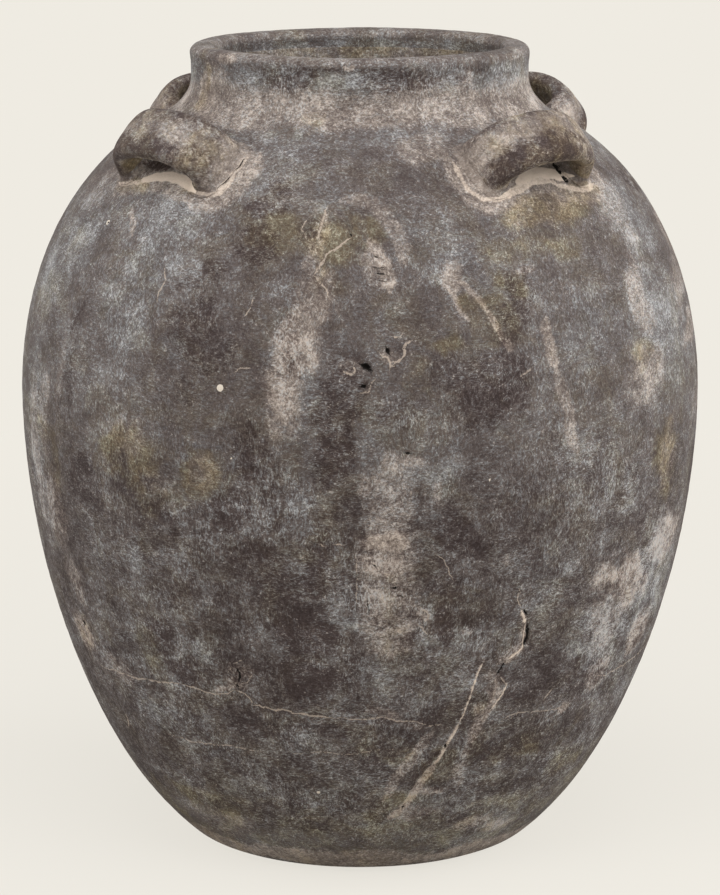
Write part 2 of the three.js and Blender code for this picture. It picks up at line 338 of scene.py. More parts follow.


# Soft patches: layer, angle, height, half width, half height, tilt, strength
PATCHES = tuple(Patch(*row) for row in (
    # Bands round the neck and rim
    ("pale", 0, 469, 2000, 14, 0, 0.6),
    ("pale", 0, 498, 2000, 3.5, 0, 0.22),
    ("pale", -62, 473, 22, 14, 0, 0.8),
    ("pale", 34, 478, 30, 8, 0, 0.2),
    ("pale", -52, 497, 14, 5, 0, 0.7),
    ("pale", -58, 482, 14, 14, 0, 0.5),
    ("pale", 38, 484, 5, 12, 0, 0.5),
    # Painted shadow: thin dark lines under the rim's roll, below its lip
    ("soot_and_shade", -2, 492.5, 50, 1.4, 0, 0.5),
    ("soot_and_shade", 40, 492, 26, 1.2, 0, 0.4),
    ("soot_and_shade", -26, 486, 26, 8, 0, 0.5),
    ("soot_and_shade", 18, 485, 40, 7, 0, 0.6),
    ("bloom", 0, 485, 2000, 7, 0, 0.35),
    ("bloom", -4, 487, 22, 4, 0, 0.8),
    ("bloom", 52, 485, 24, 12, 0, 0.7),
    ("bloom", 0, 454, 60, 10, 0, 0.3),
    ("ochre", -63, 478, 10, 20, 0, 0.7),
    ("ochre", -14, 464, 10, 6, 0, 0.6),
    # Wash round the handles, partly painted light on the shoulder under each arch
    *(("pale", angle, 433, 42, 12, 0, 0.75) for angle in (42.5, -47.5, 132.5, -137.5)),
    ("pale", 26, 434, 9, 22, -10, 0.85),
    ("pale", -30, 440, 12, 20, 20, 0.7),
    ("pale", 17, 449, 22, 14, -20, 0.5),
    ("pale", 56, 437, 10, 16, 0, 0.6),
    ("pale", -61, 437, 10, 16, 0, 0.6),
    ("pale", 45, 420, 14, 7, 0, 0.75),
    ("pale", 60, 408, 24, 28, 0, 0.36),
    ("bloom", 64, 402, 36, 28, 0, 0.7),
    # Scraped band down the middle
    ("pale", 4.4, 226, 15, 34, 0, 0.45),
    ("pale", 4, 267, 14, 17, 0, 0.38),
    ("pale", 0.8, 268, 5, 11, 10, 0.55),
    ("pale", 7, 283, 7, 4, 0, 0.5),
    ("pale", 4.8, 234, 17, 8, 0, 0.95),
    ("pale", 4.3, 220, 17, 11, 0, 0.8),
    ("pale", 4.7, 199, 15, 9, 0, 0.54),
    ("pale", 5, 182, 15, 13, -8, 0.52),
    ("pale", 4.2, 168, 14, 5, 0, 0.46),
    ("pale", 7.5, 196, 9, 4, 22, 0.6),
    ("pale", 10.3, 187, 4, 5, 0, 0.55),
    ("bloom", 4, 262, 16, 20, 0, 0.35),
    ("bloom", -0.8, 183, 5, 7, -20, 0.5),
    # Light streaks and smears
    ("pale", -6.5, 369, 12, 9, 25, 0.4),
    ("pale", -7.2, 376, 9, 16, 22, 0.6),
    ("pale", -10, 348, 12, 24, 14, 0.75),
    ("pale", -12.3, 320, 11, 22, -5, 0.8),
    ("pale", -13.6, 302, 7, 10, -5, 0.4),
    ("bloom", -11, 338, 13, 40, 0, 0.45),
    ("pale", 16.2, 384, 8, 9, 0, 0.55),
    ("bloom", 17, 393, 12, 7, 0, 0.55),
    ("pale", 29.8, 386, 9, 2.5, 0, 0.45),
    ("pale", 56, 365, 12, 22, 0, 0.5),
    ("pale", 53, 315, 20, 22, -30, 0.5),
    ("pale", 62, 262, 14, 30, 0, 0.45),
    ("pale", 66, 205, 30, 17, 0, 0.6),
    ("pale", 52, 188, 28, 18, 20, 0.75),
    ("bloom", 60, 180, 45, 38, 0, 0.85),
    ("bloom", 48, 150, 30, 20, 20, 0.85),
    ("pale", 48, 165, 22, 22, 0, 0.45),
    ("bloom", 62, 122, 50, 22, 0, 0.4),
    ("pale", -40, 28, 30, 14, 0, 0.3),
    ("pale", -62, 148, 15, 15, 0, 0.8),
    ("pale", 62, 147, 16, 15, 0, 0.76),
    ("pale", 50, 131, 14, 12, 0, 0.55),
    ("pale", -50.6, 131, 12, 10, 0, 0.4),
    ("pale", -57.6, 178, 10, 14, 0, 0.45),
    ("pale", -69, 262, 12, 60, 0, 0.35),
    ("bloom", -68, 270, 20, 75, 0, 0.6),
    ("pale", -63, 228, 16, 34, 0, 0.5),
    ("pale", -60, 185, 9, 12, 0, 0.4),
    ("pale", -64, 290, 9, 34, 0, 0.36),
    ("pale", -58, 310, 5, 30, 3, 0.3),
    ("bloom", -44, 355, 24, 26, 0, 0.5),
    ("bloom", -39, 381, 24, 16, 0, 0.4),
    ("bloom", -31, 337, 14, 14, 0, 0.6),
    ("bloom", 45, 156, 24, 22, 0, 1.0),
    ("bloom", -38, 408, 24, 16, 0, 0.5),
    ("bloom", -68, 390, 40, 40, 0, 0.5),
    ("pale", -68, 420, 30, 16, 0, 0.3),
    ("bloom", 26, 384, 30, 22, 0, 0.1),
    ("bloom", 12, 400, 24, 22, 0, 0.2),
    ("bloom", 6, 362, 10, 8, 0, 0.5),
    ("bloom", 42, 348, 22, 24, 0, 0.45),
    ("bloom", 60, 340, 50, 50, 0, 0.45),
    ("bloom", 13, 270, 12, 14, 0, 0.55),
    ("pale", 12.2, 262, 4, 9, 10, 0.4),
    ("soot_and_shade", 33, 262, 14, 30, 0, 0.3),
    ("soot_and_shade", -14.5, 268, 8, 30, 0, 0.4),
    ("soot_and_shade", -2.5, 288, 5, 20, 0, 0.5),
    ("bloom", 24, 245, 10, 14, 0, 0.3),
    ("bloom", -9, 257, 8, 6, 0, 0.5),
    ("bloom", -20, 262, 6, 10, 0, 0.25),
    ("bloom", -41, 210, 14, 9, 20, 0.5),
    ("bloom", -50, 215, 14, 20, 0, 0.3),
    ("bloom", -28, 158, 8, 10, 0, 0.55),
    ("bloom", -40, 104, 30, 16, 0, 0.45),
    ("bloom", -33, 92, 26, 10, 0, 0.35),
    ("bloom", -22, 62, 34, 8, 0, 0.3),
    ("bloom", -12, 108, 22, 10, 0, 0.3),
    ("bloom", 17, 174, 10, 8, 0, 0.5),
    ("pale", 18.2, 175, 5, 3, 0, 0.4),
    ("bloom", 32, 205, 22, 24, 0, 0.25),
    ("pale", 24.5, 218, 4, 5, 0, 0.35),
    ("pale", -25, 272, 11, 11, 0, 0.5),
    ("pale", -40, 285, 16, 14, 0, 0.3),
    ("pale", -34, 262, 16, 7, 0, 0.22),
    # Pale band round the foot: partly its lighter clay, partly painted light lifting the shade on its
    # downward-facing curve
    ("pale", 0, 7, 2000, 12, 0, 0.85),
    ("ochre", 0, 24, 2000, 44, 0, 0.35),
    ("pale", 27, 36, 14, 7, 12, 0.5),
    ("pale", 38, 27, 18, 6, 8, 0.5),
    ("pale", 13, 47, 14, 6, -20, 0.4),
    ("pale", 5, 122, 12, 4, 10, 0.45),
    ("pale", 10, 116, 10, 3.5, 14, 0.4),
    ("pale", 43, 112, 5, 5, 0, 0.7),
    ("bloom", 28, 112, 12, 5, 0, 0.4),
    ("bloom", 44, 75, 26, 16, 0, 0.3),
    ("pale", 14.5, 64, 10, 4, -10, 0.5),
    # Pale clay along the crack and round the bursts
    ("pale", 25.3, 136, 6, 9, 8, 0.5),
    ("pale", 24.6, 144, 6, 4, 0, 0.5),
    ("pale", 27.3, 157, 9, 5, -30, 0.6),
    ("pale", 28.9, 168, 3, 12, 0, 0.6),
    ("pale", 23.3, 117, 5, 9, -24, 0.55),
    ("pale", 22.4, 98, 4, 14, 0, 0.4),
    ("pale", 21.4, 78, 5, 12, 0, 0.35),
    ("ochre", 23.5, 108, 6, 26, -10, 0.5),
    ("pale", -22, 137, 8, 5, 0, 0.6),
    ("pale", -21.6, 147, 7, 8, 0, 0.5),
    ("pale", -24, 133, 9, 2.4, -14, 0.6),
    ("pale", -2, 334, 7, 5, 0, 0.4),
    ("pale", 4.6, 341, 6, 5, 0, 0.55),
    # Ochre stains
    ("pale", 38, 414, 34, 10, 0, 0.4),
    ("ochre", 40, 414, 42, 12, 0, 1.0),
    ("ochre", 36, 398, 40, 12, 0, 0.55),
    ("ochre", 50, 420, 26, 10, 0, 0.8),
    ("ochre", -14, 408, 26, 13, 0, 0.8),
    ("ochre", -3, 405, 20, 20, 0, 0.85),
    ("ochre", 3.5, 408, 8, 12, -20, 0.9),
    ("ochre", -6, 385, 16, 14, 0, 0.5),
    ("ochre", 14, 346, 12, 6, 0, 1.0),
    ("ochre", 22, 358, 18, 20, -20, 0.7),
    ("ochre", 18, 368, 8, 9, 0, 0.8),
    ("ochre", 27, 380, 10, 10, 0, 0.8),
    ("ochre", 9, 328, 10, 14, 0, 0.5),
    ("ochre", -39, 272, 24, 20, 0, 0.85),
    ("ochre", -25, 272, 14, 14, 0, 0.9),
    ("ochre", -34, 250, 30, 14, 0, 0.4),
    ("ochre", -62, 262, 16, 20, 0, 0.6),
    ("ochre", -56, 422, 20, 8, 0, 0.9),
    ("ochre", -35, 424, 14, 5, 0, 0.9),
    ("ochre", 61, 270, 22, 22, 0, 0.9),
    ("ochre", 64, 245, 16, 20, 0, 0.6),
    ("ochre", 53, 325, 12, 14, 0, 0.5),
    ("ochre", -52, 46, 34, 12, 0, 0.8),
    ("ochre", -36, 42, 20, 10, 0, 0.6),
    ("ochre", -50, 16, 36, 12, 0, 0.7),
    ("ochre", -8, 229, 12, 10, 0, 0.4),
    ("ochre", 4, 190, 14, 30, 0, 0.2),
    ("ochre", 7, 52, 16, 12, 0, 0.7),
    ("ochre", 20, 40, 30, 16, 0, 0.6),
    ("ochre", 16, 84, 16, 16, 0, 0.5),
    ("ochre", 33, 90, 20, 12, 0, 0.5),
    ("ochre", 50, 70, 26, 12, 0, 0.6),
    ("ochre", 5, 100, 18, 12, 0, 0.5),
    ("ochre", -40, 150, 14, 16, 0, 0.4),
    ("ochre", -60, 148, 16, 14, 0, 0.5),
    # Smoked places, bands that darken the lower wall, and painted shadows
    ("soot_and_shade", -20, 250, 14, 14, 0, 0.85),
    ("soot_and_shade", -6.3, 217, 9, 22, 0, 0.8),
    ("soot_and_shade", -1.5, 205, 9, 14, 0, 0.5),
    ("soot_and_shade", -12.5, 252, 12, 12, 0, 0.5),
    ("soot_and_shade", -36.6, 167, 15, 17, 0, 0.95),
    ("soot_and_shade", 13.3, 178, 10, 14, 0, 0.95),
    ("soot_and_shade", 28, 375, 12, 18, 0, 0.55),
    ("soot_and_shade", -17, 429, 12, 10, 0, 0.45),
    ("soot_and_shade", -8, 408, 9, 10, 0, 0.3),
    # Darker towards the bottom, all round the wall
    ("soot_and_shade", 0, 195, 2000, 90, 0, 0.32),
    ("soot_and_shade", -18, 419, 14, 9, 0, 0.65),
    ("soot_and_shade", 24, 356, 12, 14, 0, 0.5),
    # Painted shadow under the left handle's arch, where its underside is seen in shade
    ("soot_and_shade", -51, 437, 18, 4.5, 0, 1.0),
    ("soot_and_shade", -11, 340, 9, 40, 0, 0.3),
    # Darker still towards the bottom, all round the wall
    ("soot_and_shade", 0, 95, 2000, 80, 0, 0.44),
    ("soot_and_shade", -2, 60, 44, 16, 0, 0.4),
    ("soot_and_shade", -14, 203, 26, 18, 0, 0.6),
    ("soot_and_shade", -28, 352, 18, 20, 0, 0.6),
    ("soot_and_shade", -25, 340, 24, 14, 0, 0.55),
    ("soot_and_shade", -30, 378, 12, 10, 20, 0.4),
    ("soot_and_shade", -19, 398, 18, 14, 0, 0.6),
    ("soot_and_shade", -27, 386, 14, 8, 0, 0.4),
    ("soot_and_shade", -18, 280, 9, 26, 0, 0.6),
    ("soot_and_shade", -4, 318, 16, 24, 0, 0.55),
    ("soot_and_shade", -4, 284, 14, 20, 0, 0.75),
    ("soot_and_shade", 5, 312, 20, 10, 0, 0.4),
    ("soot_and_shade", 20, 316, 30, 18, 0, 0.6),
    ("soot_and_shade", 22, 332, 22, 10, 0, 0.5),
    ("soot_and_shade", 14, 330, 14, 12, 0, 0.4),
    ("soot_and_shade", 15.5, 232, 18, 20, 0, 0.7),
    ("soot_and_shade", 14, 205, 14, 12, 0, 0.5),
    ("soot_and_shade", 20, 214, 14, 12, 0, 0.4),
    ("soot_and_shade", -7, 232, 12, 12, 0, 0.35),
    ("soot_and_shade", -6, 208, 18, 12, 0, 0.6),
    ("soot_and_shade", -9, 176, 26, 18, 0, 0.9),
    ("soot_and_shade", -9, 145, 26, 16, 0, 1.0),
    ("soot_and_shade", -16, 215, 20, 20, 0, 0.6),
    ("soot_and_shade", -11, 203, 26, 14, 0, 0.75),
    ("soot_and_shade", -32, 142, 14, 12, 0, 0.8),
    ("soot_and_shade", -21, 108, 18, 10, 0, 0.7),
    ("soot_and_shade", -12, 84, 34, 16, 0, 0.55),
    ("soot_and_shade", -10, 38, 40, 12, 0, 0.5),
    ("soot_and_shade", 34, 132, 24, 10, 0, 0.8),
    ("soot_and_shade", 33, 92, 30, 14, 0, 0.65),
    ("soot_and_shade", 31, 112, 26, 8, 0, 0.35),
    ("soot_and_shade", 22, 60, 22, 10, 0, 0.4),
    ("soot_and_shade", 18, 130, 10, 14, 0, 0.5),
    ("soot_and_shade", 8.5, 174, 8, 6, 0, 0.6),
    ("soot_and_shade", 7, 110, 16, 6, 8, 0.5),
    ("soot_and_shade", -50, 254, 24, 16, 0, 0.6),
    ("soot_and_shade", -35, 240, 34, 12, 0, 0.5),
    ("soot_and_shade", -55, 325, 7, 40, 0, 0.35),
    ("soot_and_shade", -30, 315, 20, 8, 0, 0.3),
    ("soot_and_shade", -45, 178, 30, 16, 0, 0.3),
    # Painted shadow beside the gouge, between it and the pale band on its left
    ("soot_and_shade", 12.4, 85, 17, 3.4, -57, 0.9),
))

# Strokes: layer, half width, depth, strength, path as angles and heights
STROKES = tuple(Stroke(*row) for row in (
    # Hairlines where the courses of the wall meet
    ("scratch", 0.5, 0.3, 0.75, (
        (-58, 127), (-50, 128), (-45, 128.5), (-42, 130), (-38, 131.5), (-34, 132),
    )),
    ("scratch", 0.43, 0.3, 0.95, ((-34, 132), (-30, 131), (-27.5, 129.5), (-25, 132), (-23, 134))),
    ("scratch", 0.56, 0.3, 1.0, ((-19.6, 125.6), (-18, 124), (-14, 123.6), (-10, 122), (-5, 120.5))),
    ("scratch", 0.43, 0.3, 0.8, (
        (-5, 120.5), (0, 119.5), (4, 120.5), (7, 117.5), (10, 117), (12, 114), (15, 113),
    )),
    ("scratch", 0.5, 0.3, 0.65, ((28, 110), (31, 113), (36, 113), (39, 111), (43, 112))),
    ("scratch", 0.56, 0.2, 0.55, ((-42, 92.5), (-36, 92), (-31, 93.5), (-26, 94.5), (-20, 93))),
    ("scratch", 0.43, 0.2, 0.5, ((-14, 94), (-8, 95), (0, 95.5), (4, 97.5), (8, 97.5))),
    # Split on the right
    ("crack", 0.7, 1.2, 1.0, ((28.5, 184), (29.1, 180.2))),
    ("crack", 1.1, 2.0, 1.0, ((29.4, 175), (29.7, 169), (29.6, 162))),
    ("crack", 0.7, 1.4, 1.0, ((25.9, 151), (25.4, 148), (24.9, 145))),
    ("crack", 0.3, 0.4, 0.7, ((25.1, 143), (25.9, 140), (26.9, 137))),
    ("pale", 1.5, -0.5, 1.15, ((27.8, 184), (28.5, 179), (28.9, 175.6))),
    ("pale", 0.9, -0.4, 1.2, ((29, 176), (28.9, 169), (28.9, 163), (29.2, 160), (27.9, 156.5), (26.4, 153))),
    ("pale", 2.4, 0.1, 0.8, ((29.6, 162), (28.2, 157.5), (26.6, 153.6), (25.6, 150))),
    ("pale", 0.7, -0.4, 1.15, (
        (24.8, 144), (26, 140.5), (27.2, 136.5), (26.8, 131), (26, 126), (24.6, 119),
    )),
    ("pale", 0.7, -0.3, 1.0, ((24.6, 142), (25, 137), (24.9, 130), (24.4, 124))),
    ("pale", 4.2, 0.1, 0.6, ((25.6, 136), (25.6, 130), (24.8, 123), (23.6, 116), (22.4, 107), (21.8, 96))),
    ("scratch", 0.5, 0.2, 0.8, ((26.8, 198), (27, 192), (27.6, 187))),
    # Gouge below it
    ("pale", 0.8, -0.5, 1.15, ((21.8, 155), (21, 147), (20.3, 135), (19.5, 122), (18.8, 113))),
    ("pale", 1.3, -0.6, 1.05, ((18.9, 114), (17.5, 103), (16.3, 93), (15.2, 85))),
    ("pale", 2.6, 0.9, 0.85, ((15.4, 87), (13.7, 76), (12.2, 67), (10.5, 58), (9, 51))),
    ("pale", 2.6, 0.4, 0.7, ((9.5, 53), (6.5, 45))),
    ("pale", 4.0, 0.0, 0.5, ((13.8, 109), (11.6, 98), (9.6, 87), (7.5, 77), (5, 59))),
    ("crack", 1.0, 1.8, 1.0, ((17.2, 99.5), (16.8, 97))),
    ("crack", 0.8, 1.2, 1.0, ((9.7, 54.5), (9.5, 52.5))),
    ("crack", 0.6, 0.8, 0.9, ((5.4, 49), (7, 48.6))),
    # Burst on the left
    ("crack", 0.6, 1.2, 1.0, ((-22, 150), (-21.7, 146), (-21.9, 142), (-22.1, 140))),
    ("crack", 0.8, 1.2, 1.0, ((-22.2, 137.6), (-22.1, 136))),
    ("scratch", 0.3, 0.2, 0.65, ((-23.4, 143.5), (-23.9, 146), (-23.4, 148.6), (-22.4, 150.6))),
    ("scratch", 0.3, 0.2, 0.65, ((-22.3, 152.6), (-21.2, 154.6), (-20.2, 157))),
    ("scratch", 0.35, 0.2, 0.7, ((-21.2, 139), (-20, 141.8), (-19.2, 145.4))),
    ("scratch", 0.4, 0.2, 0.9, ((-22.6, 134.6), (-21.4, 133), (-20.2, 130), (-19.5, 126), (-18, 124.4))),
    ("scratch", 0.35, 0.2, 0.6, ((-22.8, 139), (-21.8, 137.6), (-20.8, 138))),
    # Bursts in the upper middle
    ("crack", 1.8, 1.6, 1.0, ((0.4, 337), (1.2, 336.2), (1.9, 334.4))),
    ("crack", 1.0, 1.2, 1.0, ((1.4, 337.4), (1.8, 333))),
    ("crack", 1.1, 1.2, 1.0, ((0.1, 324.4), (0.8, 325.4))),
    ("crack", 1.1, 1.4, 1.0, ((4.2, 345.6), (4.6, 343.2))),
    ("crack", 0.8, 1.2, 1.0, ((-1.8, 408.6), (-1.6, 407.4))),
    ("scratch", 0.56, -0.3, 1.0, ((3.2, 343), (4.3, 341), (5, 337.5), (4.8, 334.5))),
    ("scratch", 0.62, -0.3, 1.0, ((5, 337), (6, 339), (6.9, 343), (7.2, 348), (8.4, 350))),
    ("scratch", 0.5, -0.3, 0.9, ((-2.7, 334), (-1.4, 331.6), (-0.7, 333), (-0.8, 336))),
    ("scratch", 0.43, -0.2, 0.8, ((5, 352), (6.5, 352.5), (7, 354.5))),
    ("scratch", 0.43, -0.2, 0.8, ((0, 321), (1.4, 322.5), (1.6, 326), (2.4, 329))),
    ("scratch", 0.62, 0.2, 0.9, ((-1.8, 406), (-3, 403), (-4.5, 399.5), (-6, 397), (-7, 391), (-7.8, 386))),
    ("scratch", 0.5, 0.2, 0.9, ((-7.8, 386), (-7, 382), (-5.5, 378), (-5, 374))),
    ("scratch", 0.62, 0.1, 0.8, ((-6.5, 421), (-7.4, 413), (-7.8, 404))),
    ("scratch", 0.43, 0.1, 0.7, ((-10.3, 415), (-11, 410), (-10, 405))),
    ("scratch", 0.37, 0.1, 0.7, ((-18, 372), (-18.4, 367), (-19.6, 362))),
    ("scratch", 0.43, 0.1, 0.7, ((-20, 331), (-19, 333), (-17.6, 333.5))),
    ("pale", 4.6, 0.3, 0.74, ((1.4, 405), (2.8, 399.5), (4.2, 392.5), (4.8, 384), (4.9, 377))),
    ("pale", 8, 0.0, 0.5, ((1.6, 400), (2.8, 391), (3.8, 380))),
    ("pale", 5.0, 0.0, 0.46, (
        (-4, 424), (0, 426), (3, 422.5), (5, 417), (7.0, 408), (7.8, 400), (7.8, 390.7),
    )),
    ("pale", 6.0, 0.0, 0.45, (
        (-6.8, 417), (-7.7, 404), (-8.4, 391), (-9.1, 377), (-9.9, 364), (-10.5, 350),
    )),
    ("pale", 11, 0.0, 0.66, (
        (-5.4, 377), (-7.6, 367), (-10.1, 355), (-11.3, 338), (-11.7, 321), (-11.8, 304),
    )),
    ("crack", 0.35, 0.4, 0.8, ((2.1, 396), (3.4, 395.2))),
    ("crack", 0.4, 0.4, 0.8, ((2.3, 390.8), (4.2, 389.6))),
    ("crack", 0.4, 0.4, 0.9, ((2.6, 387.2), (4.4, 386.6))),
    ("crack", 0.35, 0.4, 0.7, ((3.2, 383), (4.6, 382.4))),
    # Slip edges and slits at the handles' roots, and painted light on the shoulder under each arch
    ("pale", 7.5, 0.0, 0.66, (
        (21.5, 448), (22, 436), (23.4, 426), (26, 420), (31, 420), (36, 424), (42, 427), (48, 423),
    )),
    ("pale", 7.5, 0.0, 0.66, ((44, 425), (48, 421), (53, 418), (58, 419), (62, 426), (64, 436))),
    ("pale", 7.5, 0.0, 0.66, (
        (-64, 430), (-60, 421), (-56, 422), (-51, 426), (-46, 427), (-41, 425), (-36, 421),
    )),
    ("pale", 7.5, 0.0, 0.66, ((-38, 422), (-34, 420), (-30, 421), (-27, 428), (-26, 437), (-25.5, 447))),
    ("pale", 2.0, 0.0, 1.05, (
        (22.4, 443.5), (22.6, 436), (23.4, 428.6), (25.4, 423), (28.2, 422.2), (31.5, 424.2),
    )),
    ("pale", 3.0, 0.0, 1.12, ((28.5, 423), (33, 425.4), (36.5, 428), (40, 430), (43, 430.2), (46.3, 428.4))),
    # Painted light on the shoulder under the right arch, where the strap's shadow falls
    ("pale", 6.0, 0.0, 1.4, ((36, 430), (40, 433.4), (43, 434.4), (46, 433), (49, 431), (52, 430))),
    ("pale", 2.4, 0.0, 1.08, ((45, 428.4), (49, 424.6), (52.3, 422.6), (55.5, 422), (58.5, 424))),
    ("pale", 2.2, 0.0, 1.05, ((-61.5, 423), (-57.9, 423.6), (-55.2, 425.6), (-52.3, 428.2), (-49, 430))),
    # Painted light on the shoulder under the left arch, where the strap's shadow falls
    ("pale", 5.0, 0.0, 1.4, (
        (-54, 428), (-49, 430.8), (-45.4, 431.4), (-42, 430.6), (-39, 428.6), (-36, 425.6),
    )),
    ("pale", 2.2, 0.0, 1.05, (
        (-40, 428), (-35, 425), (-32.5, 424.4), (-30.4, 426), (-29.4, 430), (-28.9, 436),
    )),
    ("pale", 1.6, -0.4, 1.0, (
        (-28.2, 444.9), (-28.7, 440.3), (-29.5, 435.5), (-30.3, 430.7), (-31.2, 426.9),
    )),
    ("crack", 0.3, 0.4, 0.75, ((-28.5, 444), (-29, 439.6), (-29.5, 437))),
    ("crack", 0.3, 0.4, 0.75, ((-29.9, 434.6), (-30.5, 430.7), (-31.2, 427.6))),
    ("crack", 2.0, 0.8, 1.4, ((50.5, 437.4), (49.9, 431.8))),
    ("crack", 1.9, 0.8, 1.4, ((50.5, 430.9), (50.2, 426.8))),
    # Scratches on the right
    ("pale", 2.2, 0.3, 0.68, ((15, 388), (15.3, 382), (16.2, 370.5), (17.9, 359.3))),
    ("pale", 1.9, 0.4, 0.77, (
        (15.5, 387), (18.3, 378.3), (20.6, 369.7), (22.2, 360), (23.4, 350.4), (25, 341),
    )),
    ("pale", 2.8, 0.3, 0.85, ((24.1, 347), (25.3, 341))),
    ("pale", 4.2, 0.2, 0.7, ((32.6, 357), (31.8, 350), (32.3, 340), (33, 328))),
    ("pale", 4.4, 0.2, 0.5, ((33, 328), (33.8, 318), (35, 303), (35, 290), (36.5, 278))),
    ("scratch", 0.5, 0.1, 0.6, ((26, 326), (27.2, 328.5), (28.4, 331.5))),
    ("scratch", 0.31, 0.1, 0.8, ((12.4, 225), (13.4, 221), (14.2, 216), (14.8, 209))),
    ("scratch", 0.43, 0.1, 0.9, ((9.7, 181), (11.3, 175))),
    ("scratch", 0.5, 0.1, 0.8, ((9.9, 192), (11.3, 188), (11.2, 185), (10.6, 182))),
    ("scratch", 0.37, 0.1, 0.5, ((8, 269), (7.9, 264), (8, 259))),
    # The scraped band and the nicks in it
    ("pale", 15, 0.0, 0.46, (
        (4.6, 284), (4.4, 262), (4.2, 245), (3.9, 225), (3.6, 205), (4.1, 180), (4.8, 162),
    )),
    ("pale", 17, 0.0, 0.46, ((4.9, 240), (5.1, 220), (5.4, 195), (5.8, 172))),
    ("scratch", 0.4, 0.2, 0.6, ((-0.6, 226), (-0.4, 212), (-0.7, 196))),
    ("crack", 0.7, 1.4, 1.0, ((6.9, 286), (7.8, 286.1))),
    ("crack", 0.7, 1.4, 1.0, ((5.1, 205.3), (6.0, 205.8))),
    ("crack", 0.5, 0.7, 0.9, ((2, 220.6), (2.4, 219))),
    ("crack", 0.4, 0.5, 0.7, ((1.3, 200), (1.3, 194), (1.6, 188))),
    ("crack", 0.4, 0.4, 0.7, ((6.2, 200.4), (7.2, 198.6))),
    # Specks on the left
    ("scratch", 0.5, -0.2, 1.0, ((-6, 232.2), (-5.6, 232.2))),
    ("scratch", 0.37, -0.2, 1.0, ((-3.8, 232.2), (-2.6, 232))),
    ("scratch", 0.31, 0.1, 0.6, ((-9.4, 223), (-8.8, 225))),
    ("scratch", 0.5, 0.2, 0.7, ((-36.6, 383), (-35.6, 378), (-36.6, 371), (-36.2, 364))),
    ("scratch", 0.5, 0.2, 0.9, ((-55.4, 96), (-56, 91), (-56.8, 87))),
    ("scratch", 0.43, 0.1, 0.5, ((-50, 407), (-48.4, 400))),
    ("pale", 1.8, 0.1, 0.55, ((-51.6, 412), (-48.5, 405), (-47.4, 398))),
    # Marks low on the right, at the foot and on the rim
    ("scratch", 0.45, 0.2, 0.7, ((28.3, 112), (30.6, 114.6), (33.7, 114.4))),
    ("scratch", 0.5, 0.2, 0.8, ((36.7, 120.8), (37.4, 124), (38, 126.7))),
    ("pale", 2.2, 0.5, 1.0, ((13.2, 8.4), (14.4, 5), (16.4, 3.4))),
    ("pale", 1.8, 0.3, 0.8, ((-5.4, 495), (-3.6, 494.4), (-1.7, 495))),
))

# Spots: layer, angle, height, radius, depth
SPOTS = tuple(Spot(*row) for row in (
    ("pebble", -22.4, 321, 2.1, -0.4),
    ("pebble", -8.9, 66, 1.1, -0.2),
    ("pebble", -56.5, 402.5, 1.6, -0.2),
    ("pit", -56.5, 402.5, 0.9, 0.8),
    ("pebble", 20.5, 268, 0.8, -0.2),
    ("pebble", -20.3, 281, 0.7, -0.1),
    ("pit", -60.2, 154, 1.6, 1.2),
    ("pit", 1.0, 336.2, 1.7, 1.4),
    ("pit", 0.7, 325, 1.1, 1.0),
    ("pit", 4.3, 344.8, 1.0, 0.8),
))


# Patches on the sides and the back: layer, count, strength
FAR_SIDE_PATCHES = (("pale", 22, 0.6), ("bloom", 44, 0.6), ("ochre", 30, 0.8), ("soot_and_shade", 44, 0.8))

# Hairlines there: height, first and last angle
FAR_SIDE_HAIRLINES = ((125, 50, 120), (127, 135, 190), (124, 200, 260), (92, 80, 140), (94, 170, 230))

FAR_SIDE_SCRATCHES = 26


def far_side_patches():
    """Soft patches for the sides and the back, drawn with a fixed seed."""
    random = np.random.default_rng(7)
    patches = []
    for layer, count, strength in FAR_SIDE_PATCHES:
        for _ in range(count):
            angle = random.uniform(78, 282)
            height = random.uniform(15, 435)
            sizes = random.uniform(7, 34), random.uniform(6, 24)
            tilt = random.uniform(-25, 25)
            share = random.uniform(0.5, 1)
            patches.append(Patch(layer, angle, height, *sizes, tilt, strength * share))
    return patches


def far_side_strokes():
    """The hairlines carried on round the back, and short scratches there, drawn with a fixed seed."""
    random = np.random.default_rng(9)
    strokes = []
    for height, first, last in FAR_SIDE_HAIRLINES:
        angles = np.arange(first, last, 4)
        heights = height + random.uniform(-2.5, 2.5, len(angles))
        strokes.append(Stroke("scratch", 0.45, 0.3, 0.75, tuple(zip(angles, heights))))
    for _ in range(FAR_SIDE_SCRATCHES):
        start = random.uniform(80, 280), random.uniform(40, 420)
        steps = np.cumsum(random.uniform(-1, 1, (4, 2)) * (2.2, 7), axis=0)
        strokes.append(Stroke("scratch", 0.4, 0.1, 0.75, tuple(start + steps)))
    return strokes


# Meshes


def grid_faces(rows, columns, closed):
    """Quads between neighbouring rows and columns.

    The last column joins the first one, and the last row of a closed grid joins its first.
    """
    index = np.arange(rows * columns).reshape(rows, columns)
    if closed:
        index = np.vstack([index, index[:1]])
    here, above = index[:-1], index[1:]
    right = np.roll(here, -1, axis=1)
    corner = np.roll(above, -1, axis=1)
    return np.stack([here, right, corner, above], axis=-1).reshape(-1, 4)


